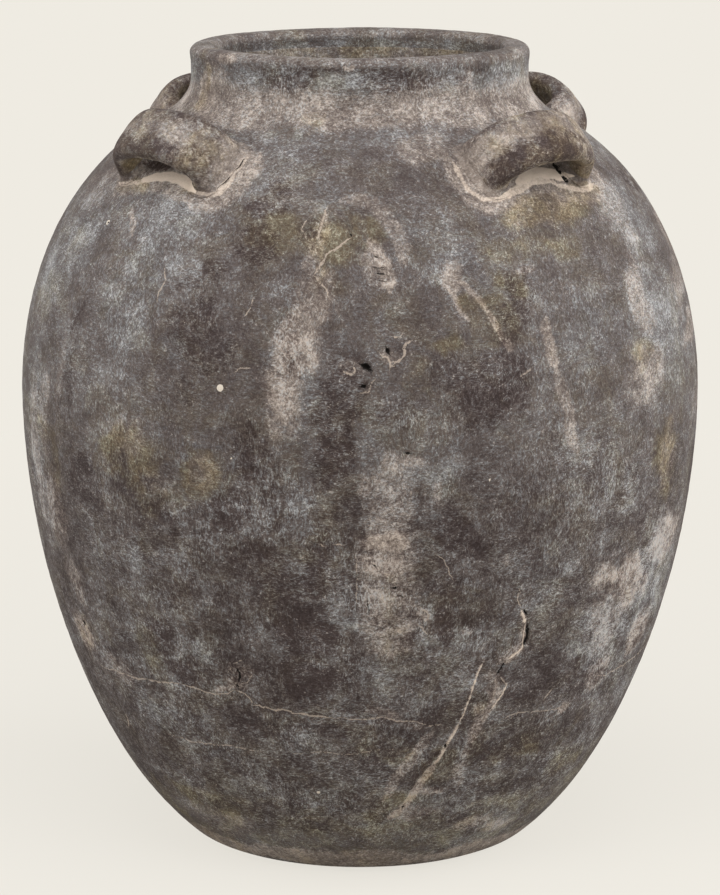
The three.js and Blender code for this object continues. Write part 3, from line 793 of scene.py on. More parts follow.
def make_mesh(name, points, faces, triangles=()):
    """A mesh object at the origin from whole arrays of points, quads and, at its poles, triangles."""
    mesh = bpy.data.meshes.new(name)
    corners = np.append(faces, triangles)
    starts = np.append(np.arange(len(faces)) * 4, len(faces) * 4 + np.arange(len(triangles)) * 3)
    mesh.vertices.add(len(points))
    mesh.vertices.foreach_set("co", points.ravel().astype(np.float32))
    mesh.loops.add(len(corners))
    mesh.loops.foreach_set("vertex_index", corners.astype(np.int32))
    mesh.polygons.add(len(starts))
    mesh.polygons.foreach_set("loop_start", starts.astype(np.int32))
    mesh.update(calc_edges=True)
    mesh.shade_smooth()
    piece = bpy.data.objects.new(name, mesh)
    bpy.context.scene.collection.objects.link(piece)
    return piece


def make_ring(name, points):
    """A mesh from a grid of points that closes both round the axis and from its last row to its first."""
    rows, columns = points.shape[:2]
    return make_mesh(name, points.reshape(-1, 3), grid_faces(rows, columns, True))


def make_capped(name, points, poles):
    """A mesh from a grid of points whose first and last rows are each closed by triangles round a pole."""
    rows, columns = points.shape[:2]
    first = np.arange(columns)
    last = first + (rows - 1) * columns
    first_fan = np.stack([np.full(columns, rows * columns), np.roll(first, -1), first], axis=-1)
    last_fan = np.stack([last, np.roll(last, -1), np.full(columns, rows * columns + 1)], axis=-1)
    flat = np.concatenate([points.reshape(-1, 3), poles])
    return make_mesh(name, flat, grid_faces(rows, columns, False), np.concatenate([first_fan, last_fan]))


def sharpen_rows(piece, columns, rows):
    """Mark the edges that run along the given rows of a grid as sharp."""
    mesh = piece.data
    ends = np.empty(2 * len(mesh.edges), dtype=np.int32)
    mesh.edges.foreach_get("vertices", ends)
    row = ends.reshape(-1, 2) // columns
    sharp = (row[:, 0] == row[:, 1]) & np.isin(row[:, 0], rows)
    mesh.attributes.new("sharp_edge", "BOOLEAN", "EDGE").data.foreach_set("value", sharp)


def blank_layers(shape):
    """Every layer of paint at its empty value."""
    return {name: np.full(shape, FAR if name.endswith("side") else 0.0) for name in LAYERS}


def paint(piece, layers):
    """Store each layer of paint as an attribute on the piece's points."""
    for name, values in layers.items():
        attribute = piece.data.attributes.new(name, "FLOAT", "POINT")
        attribute.data.foreach_set("value", values.ravel().astype(np.float32))


def paint_capped(piece, layers):
    """The same for a mesh with poles. Each pole takes the value of the row beside it."""
    paint(piece, {name: np.append(values, values[[0, -1], 0]) for name, values in layers.items()})


def finish_piece(piece, node, material):
    """Put a skin in its node's place, on the pot's body, in its finish."""
    piece.data.materials.append(material)
    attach(piece, "root")
    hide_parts(node)


# Weathering


WANDER_SIZE = 20 * MM               # size of the noise that bends a patch's outline
PATCH_EDGE = (0.55, 1.25)           # where a patch starts to fade and where it ends, in half sizes
SHAKE_SIZE = 6 * MM                 # size of the noise that shakes a stroke's edges
SHAKE_REACH = 0.9                   # how far it shakes them, in millimetres
FINE_STROKE = 1.4                   # half width in millimetres under which a pale stroke is drawn steadily
FINE_SHAKE = 0.35                   # how much of the shaking such a stroke keeps
STROKE_MARGIN = (4, 9)              # degrees and millimetres round a stroke's path that it can still mark
GROOVE_EDGE = (0.4, 1.2)            # where a stroke's groove starts to rise and where it ends, in half widths
LINE_REACH = (1.5, 3)               # millimetres from a path that are near it, and that no longer are
END_WIDTH = 0.3                     # width of a stroke at its ends, against its middle


def offset_from(mark, angle, along, line):
    """Millimetres from the middle of a patch or spot: round the pot, the short way, and up the wall."""
    radius = line.outer(mark.height * MM)
    across = ((angle - mark.angle + 180) % 360 - 180) * DEGREE * radius / MM
    return across, (along - line.length_at(mark.height * MM)) / MM


def patch_weight(patch, angle, along, line, wander):
    """How much of a patch lies at each point: its strength inside, falling to 0 round a wandering outline.

    The point is turned into the patch's own frame, both parts are divided by its half sizes, and the falloff
    runs over the length of that pair.
    """
    across, up = offset_from(patch, angle, along, line)
    across = across + wander[0] * (2 + 0.3 * patch.half_width)
    up = up + wander[1] * (2 + 0.3 * patch.half_height)
    cos, sin = math.cos(patch.tilt * DEGREE), math.sin(patch.tilt * DEGREE)
    x = (across * cos - up * sin) / patch.half_width
    y = (across * sin + up * cos) / patch.half_height
    return patch.strength * (1 - smooth_step(*PATCH_EDGE, np.hypot(x, y)))


def lay_patches(layers, points, angle, along, line):
    """Lay the soft patches on their layers. Two slow noises make their outlines wander."""
    wander = [clouds(points, WANDER_SIZE, 4, seed) for seed in (11, 21)]
    for patch in (*PATCHES, *far_side_patches()):
        weight = patch_weight(patch, angle, along, line, wander)
        layers[patch.layer] = np.maximum(layers[patch.layer], weight)


def stroke_fields(stroke, angle, along, line, shake):
    """Signed distance to a stroke's path in half widths, and how near it is, from 0 to 1.

    Each straight stretch gives the distance to its nearest point, and the smallest one counts. The sign tells
    which side of that stretch a point lies on, so a fine line stays crisp between the points of the mesh. The
    half width shrinks towards both ends of the path.
    """
    turn, height = np.array(stroke.path).T
    level = line.length_at(height * MM) / MM
    scale = line.outer(height * MM) * DEGREE / MM
    stretches = len(turn) - 1
    side = np.full(angle.shape, 1e6)
    share = np.zeros(angle.shape)
    for i in range(stretches):
        mean_scale = (scale[i] + scale[i + 1]) / 2
        x = (angle - turn[i]) * mean_scale + shake[0]
        y = along / MM - level[i] + shake[1]
        run_x = (turn[i + 1] - turn[i]) * mean_scale
        run_y = level[i + 1] - level[i]
        t = np.clip((x * run_x + y * run_y) / (run_x**2 + run_y**2), 0, 1)
        off_x = x - t * run_x
        off_y = y - t * run_y
        distance = np.hypot(off_x, off_y)
        nearer = distance < np.abs(side)
        sign = np.where(run_x * off_y < run_y * off_x, -1, 1)
        side = np.where(nearer, sign * distance, side)
        share = np.where(nearer, (i + t) / stretches, share)
    half_width = stroke.half_width * np.clip(END_WIDTH + 6 * share * (1 - share), None, 1)
    return np.clip(side / half_width, -FAR, FAR), 1 - smooth_step(*LINE_REACH, np.abs(side))


def draw_strokes(layers, depth, points, angle, along, line):
    """Draw the strokes on their layers and cut them into the depth. Two fast noises shake their edges."""
    shake = [SHAKE_REACH * clouds(points, SHAKE_SIZE, 2, seed) for seed in (31, 41)]
    height = points[..., 2] / MM
    for stroke in (*STROKES, *far_side_strokes()):
        turns, heights = np.array(stroke.path).T
        first = stroke.path[0][0]
        unrolled = (angle - first + 180) % 360 - 180 + first
        near = (unrolled > turns.min() - STROKE_MARGIN[0]) & (unrolled < turns.max() + STROKE_MARGIN[0])
        near &= (height > heights.min() - STROKE_MARGIN[1]) & (height < heights.max() + STROKE_MARGIN[1])
        if not near.any():
            continue
        fine = stroke.layer == "pale" and stroke.half_width < FINE_STROKE
        local = [(FINE_SHAKE if fine else 1) * part[near] for part in shake]
        side, nearness = stroke_fields(stroke, unrolled[near], along[near], line, local)
        depth[near] += stroke.depth * MM * (1 - smooth_step(*GROOVE_EDGE, np.abs(side)))
        if stroke.layer == "pale":
            blur = min(max(stroke.half_width / 16, 0.18), 0.35)
            weight = stroke.strength * (1 - smooth_step(1 - 1.4 * blur, 1 + 0.7 * blur, np.abs(side)))
            layers["pale"][near] = np.maximum(layers["pale"][near], weight)
        else:
            draw_line(layers, stroke.layer, near, side, stroke.strength * nearness)


def draw_line(layers, kind, near, side, nearness):
    """Keep the side and the nearness of a crack or scratch where no other one of its kind is nearer."""
    closer = nearness > layers[kind + "_near"][near]
    for layer, values in ((kind + "_side", side), (kind + "_near", nearness)):
        layers[layer][near] = np.where(closer, values, layers[layer][near])


def weather(angle, height, line):
    """Layers of paint and the depth of the marks at places on the outside, given by angle and height."""
    along = line.length_at(height)
    points = on_pot(angle * DEGREE, line.outer(height), height)
    layers = blank_layers(angle.shape)
    depth = np.zeros(angle.shape)
    lay_patches(layers, points, angle, along, line)
    draw_strokes(layers, depth, points, angle, along, line)
    for spot in SPOTS:
        distance = np.hypot(*offset_from(spot, angle, along, line))
        weight = 1 - smooth_step(0.5, 1.5, distance / spot.radius)
        layers[spot.layer] = np.maximum(layers[spot.layer], weight)
        depth += spot.depth * MM * weight
    return layers, depth


THROWING_LINE = 2.1 * MM            # rise over which the wave of the throwing lines turns by one radian
THROWING_DEPTH = 0.05 * MM


def clay_relief(points, sizes):
    """How deep the clay lies under its ideal surface: broad lumps, faint throwing lines and grit."""
    lumps = clouds(points, 70 * MM, 3, 51)
    rings = np.sin(points[..., 2] / THROWING_LINE + 2.5 * lattice_noise(points, 60 * MM, 61))
    rings *= lattice_noise(points, 35 * MM, 71)
    grit = clouds(points, 4.5 * MM, 3, 81)
    return sizes.lump_depth * (1.1 + 0.55 * lumps) + THROWING_DEPTH * rings + sizes.grain_depth * (1.5 + grit)


# Wall pieces


OUTSIDE_STEP = 1.05 * MM            # between the rows of the outside
NECK_STEP = 1 * MM                  # the same on the neck
INSIDE_STEP = 8 * MM                # between the rows of the plain inside
INSIDE_ROWS = 14                    # on the inside of the neck
WALL_COLUMNS = 880                  # round the wall
NECK_COLUMNS = 800                  # round the neck and the rim
INSIDE_FILLET = 14 * MM             # where the wall meets the floor inside
INSIDE_WOBBLE = 0.6 * MM
SLAB_STEP = 1.5 * MM                # between the rows on the side of the foot slab
SLAB_RINGS = 7                      # rows on the slab's upper and lower face
SLAB_WOBBLE = 0.4 * MM


def worn_wall(angle, height, sizes, line):
    """Layers of paint on the outside, and how deep it is worn by its marks and its relief."""
    layers, depth = weather(angle, height, line)
    return layers, depth + clay_relief(on_pot(angle * DEGREE, line.outer(height), height), sizes)


def wall_skin(name, outer_heights, inner_places, columns, sizes, line, inner_paint=()):
    """A course of the wall as one closed skin.

    The outside follows the wall's line, pushed in by the relief and the marks. The inside is a plain line of
    places with a gentle wobble. The joints above and below are the straight steps between the two.
    """
    view = turn_angles(columns)
    angle, height = np.meshgrid(view / DEGREE, outer_heights)
    layers, depth = worn_wall(angle, height, sizes, line)
    out_radius, out_height = line.out(height)
    radius = line.outer(height) - depth * out_radius
    outside = on_pot(angle * DEGREE, radius, np.clip(height - depth * out_height, 0, None))
    radius, height = (part[:, None] for part in inner_places)
    wobble = INSIDE_WOBBLE * clouds(on_pot(view, radius, height), 30 * MM, 3, 91)
    inside = on_pot(view, radius + wobble, height)
    piece = make_ring(name, np.concatenate([outside, inside]))
    turns = len(outside)
    sharpen_rows(piece, columns, [0, turns - 1, turns, turns + len(inside) - 1])
    plain = blank_layers(inside.shape[:2])
    for layer, value in inner_paint:
        plain[layer] += value
    paint(piece, {layer: np.concatenate([layers[layer], plain[layer]]) for layer in LAYERS})
    return piece


class URN_OT_wall(bpy.types.Operator):
    """Turn the foot slab and the six courses of the wall"""

    bl_idname = "urn.wall"
    bl_label = "Foot and wall"

    def execute(self, context):
        sizes = context.scene.urn_sizes
        line = WallLine(sizes)
        clay = clay_material("worn_clay", context.scene.urn_colours)
        step, columns = ((OUTSIDE_STEP, WALL_COLUMNS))
        make_foot(sizes, line, clay, columns)
        joints = [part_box(node)[0].z - SLIP / 2 for node in (*WALL_COURSES, "neck_collar")]
        for node, low, high in zip(WALL_COURSES, joints, joints[1:]):
            if node == "foot_wall_course":
                inside = foot_inside(low, high, sizes, line)
            elif node == "shoulder_course":
                inside = shoulder_inside(low, high, sizes, line)
            else:
                inside = line.inner(line.steps(high + sizes.bevel_rise, low + sizes.bevel_rise, INSIDE_STEP))
            piece = wall_skin("skin_" + node, line.steps(low, high, step), inside, columns, sizes, line)
            finish_piece(piece, node, clay)
        return {"FINISHED"}


def foot_inside(low, high, sizes, line):
    """The first course's inside: down the wall, then round a quarter of a fillet to the floor."""
    radius, height = line.inner(line.steps(high + sizes.bevel_rise, low + INSIDE_FILLET, INSIDE_STEP))
    bend = np.linspace(0, math.pi / 2, 7)[1:]
    return (
        np.append(radius, radius[-1] - INSIDE_FILLET * (1 - np.cos(bend))),
        np.append(height, height[-1] - (height[-1] - low) * np.sin(bend)),
    )


def shoulder_inside(low, high, sizes, line):
    """The shoulder's inside: the throat from the collar's seat down, then out under the slope."""
    top = sizes.belly_height + sizes.shoulder_rise
    radius, height = line.inner(line.steps(top, low + sizes.bevel_rise, INSIDE_STEP))
    out_radius, out_height = line.out(top)
    brow = height[0] + (radius[0] - line.throat) * out_radius / out_height
    throat = (line.throat, line.throat)
    return np.append(throat, radius), np.append((high, min(brow, high - SLIP)), height)


def make_foot(sizes, line, clay, columns):
    """The foot slab: a disc whose side has the wall's line and whose lower edge is worn round."""
    view = turn_angles(columns)
    angle, height = np.meshgrid(view / DEGREE, line.steps(0, FOOT_TOP, SLAB_STEP))
    layers, depth = worn_wall(angle, height, sizes, line)
    out_radius, out_height = line.out(height)
    rounding = sizes.foot_edge * np.clip(1 - height / sizes.foot_edge, 0, 1) ** 2
    radius = line.outer(height) - rounding - depth * out_radius
    outside = on_pot(angle * DEGREE, radius, height - depth * out_height * height / FOOT_TOP)
    share = np.linspace(0, 1, SLAB_RINGS + 2)[1:-1, None]
    bottom = on_pot(view, share * (FOOT_RADIUS - sizes.foot_edge - 1.5 * MM), 0.0)
    bottom[..., 2] += SLAB_WOBBLE * np.abs(clouds(bottom, 20 * MM, 3, 95))
    top = on_pot(view, share[::-1] * line.outer(FOOT_TOP), FOOT_TOP)
    top[..., 2] -= SLAB_WOBBLE * (1 + 0.6 * clouds(top, 18 * MM, 3, 97))
    poles = [(0, 0, SLAB_WOBBLE / 2), (0, 0, FOOT_TOP - SLAB_WOBBLE)]
    piece = make_capped("skin_foot_slab", np.concatenate([bottom, outside, top]), poles)
    sharpen_rows(piece, columns, [SLAB_RINGS + len(outside) - 1])
    plain = blank_layers(bottom.shape[:2])
    paint_capped(piece, {key: np.concatenate([plain[key], layers[key], plain[key]]) for key in LAYERS})
    finish_piece(piece, "foot_slab", clay)


class URN_OT_neck(bpy.types.Operator):
    """Turn the neck collar and the rolled rim"""

    bl_idname = "urn.neck"
    bl_label = "Neck and rim"

    def execute(self, context):
        sizes = context.scene.urn_sizes
        line = WallLine(sizes)
        clay = clay_material("neck_clay", context.scene.urn_colours)
        columns = NECK_COLUMNS
        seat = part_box("neck_collar")[0].z - SLIP / 2
        heights = line.steps(seat, RIM_SEAT, NECK_STEP)
        inside = np.full(INSIDE_ROWS, line.throat), np.linspace(RIM_SEAT, seat, INSIDE_ROWS)
        stained = (("pale", 0.42), ("ochre", 0.5))
        collar = wall_skin("skin_neck_collar", heights, inside, columns, sizes, line, stained)
        finish_piece(collar, "neck_collar", clay)
        finish_piece(rim_skin("skin_rim_roll", columns, sizes, line), "rim_roll", clay)
        return {"FINISHED"}


def rim_section(sizes, line):
    """The rim's outline in steps of about a millimetre, from the outer seat over the roll to the inner."""
    outside = sizes.neck_radius + sizes.rim_overhang
    inside = line.throat - sizes.rim_overhang
    edge = sizes.rim_edge
    low = OVERALL_HEIGHT - edge
    bend = np.linspace(0, math.pi / 2, 12)
    climb = np.linspace(RIM_SEAT, low, 8)[:-1]
    lip = sizes.rim_overhang * smooth_step(RIM_SEAT, low, climb)
    top = np.linspace(outside - edge, inside + edge, 6)[1:-1]
    radius = np.concatenate([
        sizes.neck_radius + lip,
        outside - edge + edge * np.cos(bend),
        top,
        inside + edge - edge * np.sin(bend),
        line.throat - lip[::-1],
    ])
    height = np.concatenate([
        climb,
        low + edge * np.sin(bend),
        np.full(len(top), OVERALL_HEIGHT),
        low + edge * np.cos(bend),
        climb[::-1],
    ])
    return radius, height


def rim_skin(name, columns, sizes, line):
    """The rolled rim: its outline turned round the axis, pushed in along the outline's own normal."""
    radius, height = (part[:, None] for part in rim_section(sizes, line))
    slope = np.gradient(np.stack([radius, height]), axis=1)
    slope /= np.linalg.norm(slope, axis=0)
    view = turn_angles(columns)
    depth = clay_relief(on_pot(view, radius, height), sizes)
    points = on_pot(view, radius - depth * slope[1], height + depth * slope[0])
    piece = make_ring(name, points)
    sharpen_rows(piece, columns, [0, len(radius) - 1])
    angle, height = np.meshgrid(view / DEGREE, height)
    layers, _ = weather(angle, height, line)
    paint(piece, layers)
    return piece


# Handles


ROOT_FLARE = 1.6 * MM               # how much wider a strap is at its roots, on each side
ROOT_FLARE_HEIGHT = 11 * MM         # height over which it widens
ROOT_DEPTH = 6 * MM                 # how far it reaches under its seat
ARCH_POWER = 2.35                   # power of the arch's superellipse
STRAP_POWER = 2.6                   # power of the one across the strap
STRAP_GRIT = 0.08 * MM              # depth of the grit on a strap
STRAP_GRAIN = 0.65                  # strength of a strap's grain in its colour, against the wall's
STRAP_POINTS = (180, 120)           # along a strap and round it
FILLET_POINTS = (200, 18)           # round a fillet and across it
FILLET_BITE = 0.4 * MM              # how far a fillet reaches into the strap
FILLET_SINK = 2 * MM                # how far it reaches under the shoulder
FILLET_BACK = 1.5 * MM              # how far its hidden back lies inside the strap
HANDLE_SMOKE = (0.0, 0.5, 0.3, 0.8)  # how much smoke darkens the uphill half of each strap
SEARCH_REACH = 80 * MM              # how far in and out of its seat the pot's surface is looked for
SEARCH_HALVINGS = 40


class HandleSeat:
    """Where a handle stands: the middle of its seat, and the directions round the pot, down and out."""

    def __init__(self, number, sizes, line):
        self.line = line
        height = sizes.belly_height + sizes.shoulder_rise - sizes.handle_drop
        out_radius, out_height = line.out(height)
        lean = math.atan2(out_height, out_radius) - sizes.handle_lean
        turn = (number - 1) * math.tau / HANDLE_COUNT
        away = np.array((math.cos(turn), math.sin(turn), 0))
        self.round = np.array((-math.sin(turn), math.cos(turn), 0))
        self.out = math.cos(lean) * away + math.sin(lean) * np.array((0, 0, 1))
        self.down = np.cross(self.round, self.out)
        self.middle = line.outer(height) * away + np.array((0, 0, height))

    def place(self, around, down, out):
        """A point from its distances round the pot, down the slope and out of the seat."""
        parts = np.stack(np.broadcast_arrays(around, down, out), axis=-1)
        return self.middle + parts @ np.stack([self.round, self.down, self.out])

    def surface(self, around, down):
        """How far out the pot's surface lies, found by halving an interval for all points at once."""
        low = np.full(np.broadcast(around, down).shape, -SEARCH_REACH)
        high = -low
        for _ in range(SEARCH_HALVINGS):
            middle = (low + high) / 2
            x, y, z = np.moveaxis(self.place(around, down, middle), -1, 0)
            under = np.hypot(x, y) < self.line.outer(z)
            low = np.where(under, middle, low)
            high = np.where(under, high, middle)
        return (low + high) / 2


def superellipse(angle, a, b, power):
    """A point of |x/a|^power + |y/b|^power = 1 in the direction of an angle."""
    c, s = np.cos(angle), np.sin(angle)
    return a * np.sign(c) * np.abs(c) ** (2 / power), b * np.sign(s) * np.abs(s) ** (2 / power)


def leg_distance(sizes):
    """From the middle of a handle to the middle of one of its legs."""
    return sizes.handle_length / 2 - ROOT_FLARE - sizes.strap_thickness / 2


def strap_path(sizes, steps):
    """A strap's middle line in even steps, round and out: a leg, a superelliptic arch and the other leg."""
    reach = leg_distance(sizes)
    rise = sizes.arch_rise - sizes.strap_thickness / 2
    around, out = superellipse(np.linspace(math.pi, 0, steps), reach, rise, ARCH_POWER)
    around = np.concatenate([[-reach], around, [reach]])
    out = np.concatenate([[-ROOT_DEPTH], out, [-ROOT_DEPTH]])
    length = np.append(0, np.cumsum(np.hypot(np.diff(around), np.diff(out))))
    even = np.linspace(0, length[-1], steps)
    return np.interp(even, length, around), np.interp(even, length, out)


def strap_skin(seat, sizes, smoke, steps, sides):
    """Points and layers of paint of a strap: a superellipse carried square to the strap's path.

    It widens towards both roots, whose ends lie under the pot's surface, and is pushed in by lumps and grit.
    """
    around, out = (part[:, None] for part in strap_path(sizes, steps))
    run = np.gradient(np.stack([around, out]), axis=1)
    run /= np.linalg.norm(run, axis=0)
    flare = ROOT_FLARE * np.clip(1 - out / ROOT_FLARE_HEIGHT, 0, 1) ** 2
    half_thickness = sizes.strap_thickness / 2 + flare
    half_width = sizes.strap_width / 2 + flare
    turn = np.arange(sides) / sides * math.tau
    thick, wide = superellipse(turn, half_thickness, half_width, STRAP_POWER)
    points = seat.place(around - thick * run[1], wide, out + thick * run[0])
    middle = seat.place(around, 0, out)
    depth = sizes.lump_depth * (0.9 + clouds(points, 26 * MM, 3, 131))
    depth += STRAP_GRIT * (1.5 + clouds(points, 4.5 * MM, 3, 141))
    share = 1 - depth / np.linalg.norm(points - middle, axis=-1)
    layers = strap_paint(
        points, around / leg_distance(sizes), thick / half_thickness, wide / half_width, out, smoke
    )
    return middle + (points - middle) * share[..., None], layers


def strap_paint(points, around, face, down, height, smoke):
    """Layers of paint on a strap: painted shade along its lower and uphill edges, wash on its back and roots,
    ochre underneath.

    Around runs from -1 at the left root to 1 at the right one, the face from -1 inside the arch to 1 on its
    back, and down from -1 on the uphill edge to 1 on the other. Smoke is how dark the uphill half is, 0 to 1.
    """
    smudge = clouds(points, 16 * MM, 3, 151)
    under = 1 - smooth_step(-0.7, -0.1, face)
    root = 1 - smooth_step(2 * MM, 11 * MM, height + 5 * MM * smudge)
    left = 1 - 0.55 * smooth_step(0, 0.8, around + 0.3 * smudge)
    # Painted shade along the lower edge, strongest towards the left root, and along the uphill edge
    shaded_low_edge = left * smooth_step(0, 0.5, down + 0.3 * smudge) * smooth_step(-0.5, 0.2, face)
    shaded_high_edge = smooth_step(0.5, 0.95, -down)
    top = smoke * smooth_step(-0.3, 0.6, -down - 0.3 * smudge) * (1 - root)
    rubbed = 0.62 - 0.1 * smoke + 0.14 * smudge + 0.28 * root
    layers = blank_layers(face.shape)
    # The soot layer here is painted shade on both edges, plus smoke on the uphill half
    layers["soot_and_shade"] = np.maximum(0.78 * shaded_low_edge * (1 - 0.6 * root), 0.4 * shaded_high_edge) + 0.4 * top
    layers["pale"] = rubbed - 0.35 * shaded_low_edge - 0.2 * shaded_high_edge - 0.25 * top
    layers["bloom"] = 0.15 * smooth_step(0, 0.6, -smudge) * (1 - under)
    layers["ochre"] = 0.35 + 0.6 * under + 0.4 * smooth_step(0.1, 0.6, smudge)
    return layers


class URN_OT_handles(bpy.types.Operator):
    """Bend the four strap handles over the shoulder"""

    bl_idname = "urn.handles"
    bl_label = "Strap handles"

    def execute(self, context):
        sizes = context.scene.urn_sizes
        line = WallLine(sizes)
        clay = clay_material("strap_clay", context.scene.urn_colours, STRAP_GRAIN)
        steps, sides = STRAP_POINTS
        for number, smoke in enumerate(HANDLE_SMOKE, 1):
            points, layers = strap_skin(HandleSeat(number, sizes, line), sizes, smoke, steps, sides)
            poles = points[[0, -1]].mean(axis=1)
            piece = make_capped(f"skin_strap_{number}", points, poles)
            paint_capped(piece, layers)
            finish_piece(piece, f"strap_handle_{number}", clay)
        return {"FINISHED"}


def fillet_skin(seat, side, sizes):
    """A fillet of slip round a root: a hollow quarter between the strap and the shoulder, closed below.

    Round the root runs a superellipse. Across it, the outline starts at the fillet's height on the strap,
    falls as a circle's hollow quarter to its foot on the shoulder, and comes back below the surface.
    """
    steps, sides = FILLET_POINTS
    size = sizes.fillet_radius
    bend = np.linspace(0, math.pi / 2, sides - 4)
    away = np.append(size * (1 - np.cos(bend)), (size, 0.4 * size, -FILLET_BACK, -FILLET_BACK)) - FILLET_BITE
    lift = np.append(size * (1 - np.sin(bend)), (-FILLET_SINK, -FILLET_SINK, -FILLET_SINK, 0.6 * size))
    turn = np.arange(steps)[:, None] / steps * math.tau
    half_thickness = sizes.strap_thickness / 2 + ROOT_FLARE
    half_width = sizes.strap_width / 2 + ROOT_FLARE
    thick, wide = superellipse(turn, half_thickness + away, half_width + away, STRAP_POWER)
    around = side * leg_distance(sizes) + thick
    return seat.place(around, wide, seat.surface(around, wide) + lift)


class URN_OT_luting(bpy.types.Operator):
    """Smooth a fillet of slip round both roots of each handle"""

    bl_idname = "urn.luting"
    bl_label = "Luting fillets"

    def execute(self, context):
        sizes = context.scene.urn_sizes
        line = WallLine(sizes)
        slip = clay_material("fillet_clay", context.scene.urn_colours, STRAP_GRAIN)
        for number in range(1, HANDLE_COUNT + 1):
            seat = HandleSeat(number, sizes, line)
            for side, letter in ((-1, "a"), (1, "b")):
                points = fillet_skin(seat, side, sizes)
                piece = make_ring(f"fillet_{number}{letter}", points)
                layers, _ = weather(view_degrees(points), points[..., 2], line)
                slipped = 0.5 + 0.3 * clouds(points, 14 * MM, 3, 161)
                layers["pale"] = np.maximum(layers["pale"], slipped)
                paint(piece, layers)
                finish_piece(piece, f"luting_coil_{number}{letter}", slip)
        return {"FINISHED"}


# Materials


class Recipe:
    """A node tree, with a call for each kind of node that the materials use."""

    def __init__(self, tree):
        self.nodes = tree.nodes
        self.links = tree.links
        self.surface = self.nodes.get("Principled BSDF")

    @classmethod
    def of_material(cls, name):
        material = bpy.data.materials.new(name)
        material.use_nodes = True
        recipe = cls(material.node_tree)
        recipe.material = material
        return recipe

    def feed(self, socket, value):
        if isinstance(value, bpy.types.NodeSocket):
            self.links.new(value, socket)
        elif hasattr(socket.default_value, "__len__") and len(socket.default_value) == 4:
            socket.default_value = (*value[:3], 1)
        else:
            socket.default_value = value

    def place(self):
        return self.nodes.new("ShaderNodeTexCoord").outputs["Object"]

    def layer(self, name):
        """A layer of paint, as the pieces store it."""
        node = self.nodes.new("ShaderNodeAttribute")
        node.attribute_name = name
        return node.outputs["Fac"]

    def sum(self, operation, a, b=0.0):
        node = self.nodes.new("ShaderNodeMath")
        node.operation = operation
        self.feed(node.inputs[0], a)
        self.feed(node.inputs[1], b)
        return node.outputs[0]

    def total(self, *parts, start=0.0, clamp=False):
        """The start value plus each part times its weight."""
        value = start
        for part, weight in parts:
            node = self.nodes.new("ShaderNodeMath")
            node.operation = "MULTIPLY_ADD"
            self.feed(node.inputs[0], part)
            self.feed(node.inputs[1], weight)
            self.feed(node.inputs[2], value)
            value = node.outputs[0]
        value.node.use_clamp = clamp
        return value

    def span(self, value, low, high, to_low=0.0, to_high=1.0):
        """Map low to to_low and high to to_high, smoothly, and hold the ends."""
        node = self.nodes.new("ShaderNodeMapRange")
        node.interpolation_type = "SMOOTHSTEP"
        for index, number in enumerate((value, low, high, to_low, to_high)):
            self.feed(node.inputs[index], number)
        return node.outputs[0]

    def stretched(self, place, scale, turn=(0.0, 0.0, 0.0)):
        """The place turned about the axes and then scaled along them."""
        node = self.nodes.new("ShaderNodeMapping")
        node.vector_type = "TEXTURE"
        self.feed(node.inputs["Vector"], place)
        node.inputs["Scale"].default_value = tuple(1 / share for share in scale)
        node.inputs["Rotation"].default_value = turn
        return node.outputs["Vector"]

    def noise(self, place, size, detail, roughness=0.6, distortion=0.0):
        """Noise whose broadest swell has the given size in metres."""
        node = self.nodes.new("ShaderNodeTexNoise")
        node.noise_type = "FBM"
        self.feed(node.inputs["Vector"], place)
        node.inputs["Scale"].default_value = 1 / size
        node.inputs["Detail"].default_value = detail
        node.inputs["Roughness"].default_value = roughness
        node.inputs["Distortion"].default_value = distortion
        return node.outputs["Fac"]

    def swing(self, place, size, detail, roughness, distortion):
        """Noise about 0, with its usual range, 0.3 to 0.7, spread over -0.5 to 0.5."""
        noise = self.noise(place, size, detail, roughness, distortion)
        return self.sum("MULTIPLY", self.sum("SUBTRACT", noise, 0.5), 2.5)

    def fibres(self, place, size, width, distortion):
        """Thin winding lines where a noise is near its mean: 1 in their middle and 0 at their edge."""
        noise = self.noise(place, size, 1, 0.5, distortion)
        return self.span(self.sum("ABSOLUTE", self.sum("SUBTRACT", noise, 0.5)), 0, width, 1, 0)

    def ramp(self, value, stops):
        """A colour for each value, blended between stops given as value and colour."""
        node = self.nodes.new("ShaderNodeValToRGB")
        self.feed(node.inputs[0], value)
        elements = node.color_ramp.elements
        while len(elements) < len(stops):
            elements.new(0.5)
        for element, (position, colour) in zip(elements, stops):
            element.position = position
            element.color = (*colour, 1)
        return node.outputs["Color"]

    def mix(self, share, first, second):
        node = self.nodes.new("ShaderNodeMix")
        node.data_type = "RGBA"
        self.feed(node.inputs["Factor"], share)
        self.feed(node.inputs["A"], first)
        self.feed(node.inputs["B"], second)
        return node.outputs["Result"]

    def tint(self, share, colour, tint):
        """The colour multiplied by a tint, as far as the share goes."""
        result = self.mix(share, colour, tint)
        result.node.blend_type = "MULTIPLY"
        return result

    def mix_shaders(self, share, first, second):
        node = self.nodes.new("ShaderNodeMixShader")
        self.feed(node.inputs[0], share)
        self.links.new(first, node.inputs[1])
        self.links.new(second, node.inputs[2])
        return node.outputs[0]

    def bump(self, height, distance, normal=None):
        node = self.nodes.new("ShaderNodeBump")
        node.inputs["Distance"].default_value = distance
        self.feed(node.inputs["Height"], height)
        if normal is not None:
            self.feed(node.inputs["Normal"], normal)
        return node.outputs["Normal"]


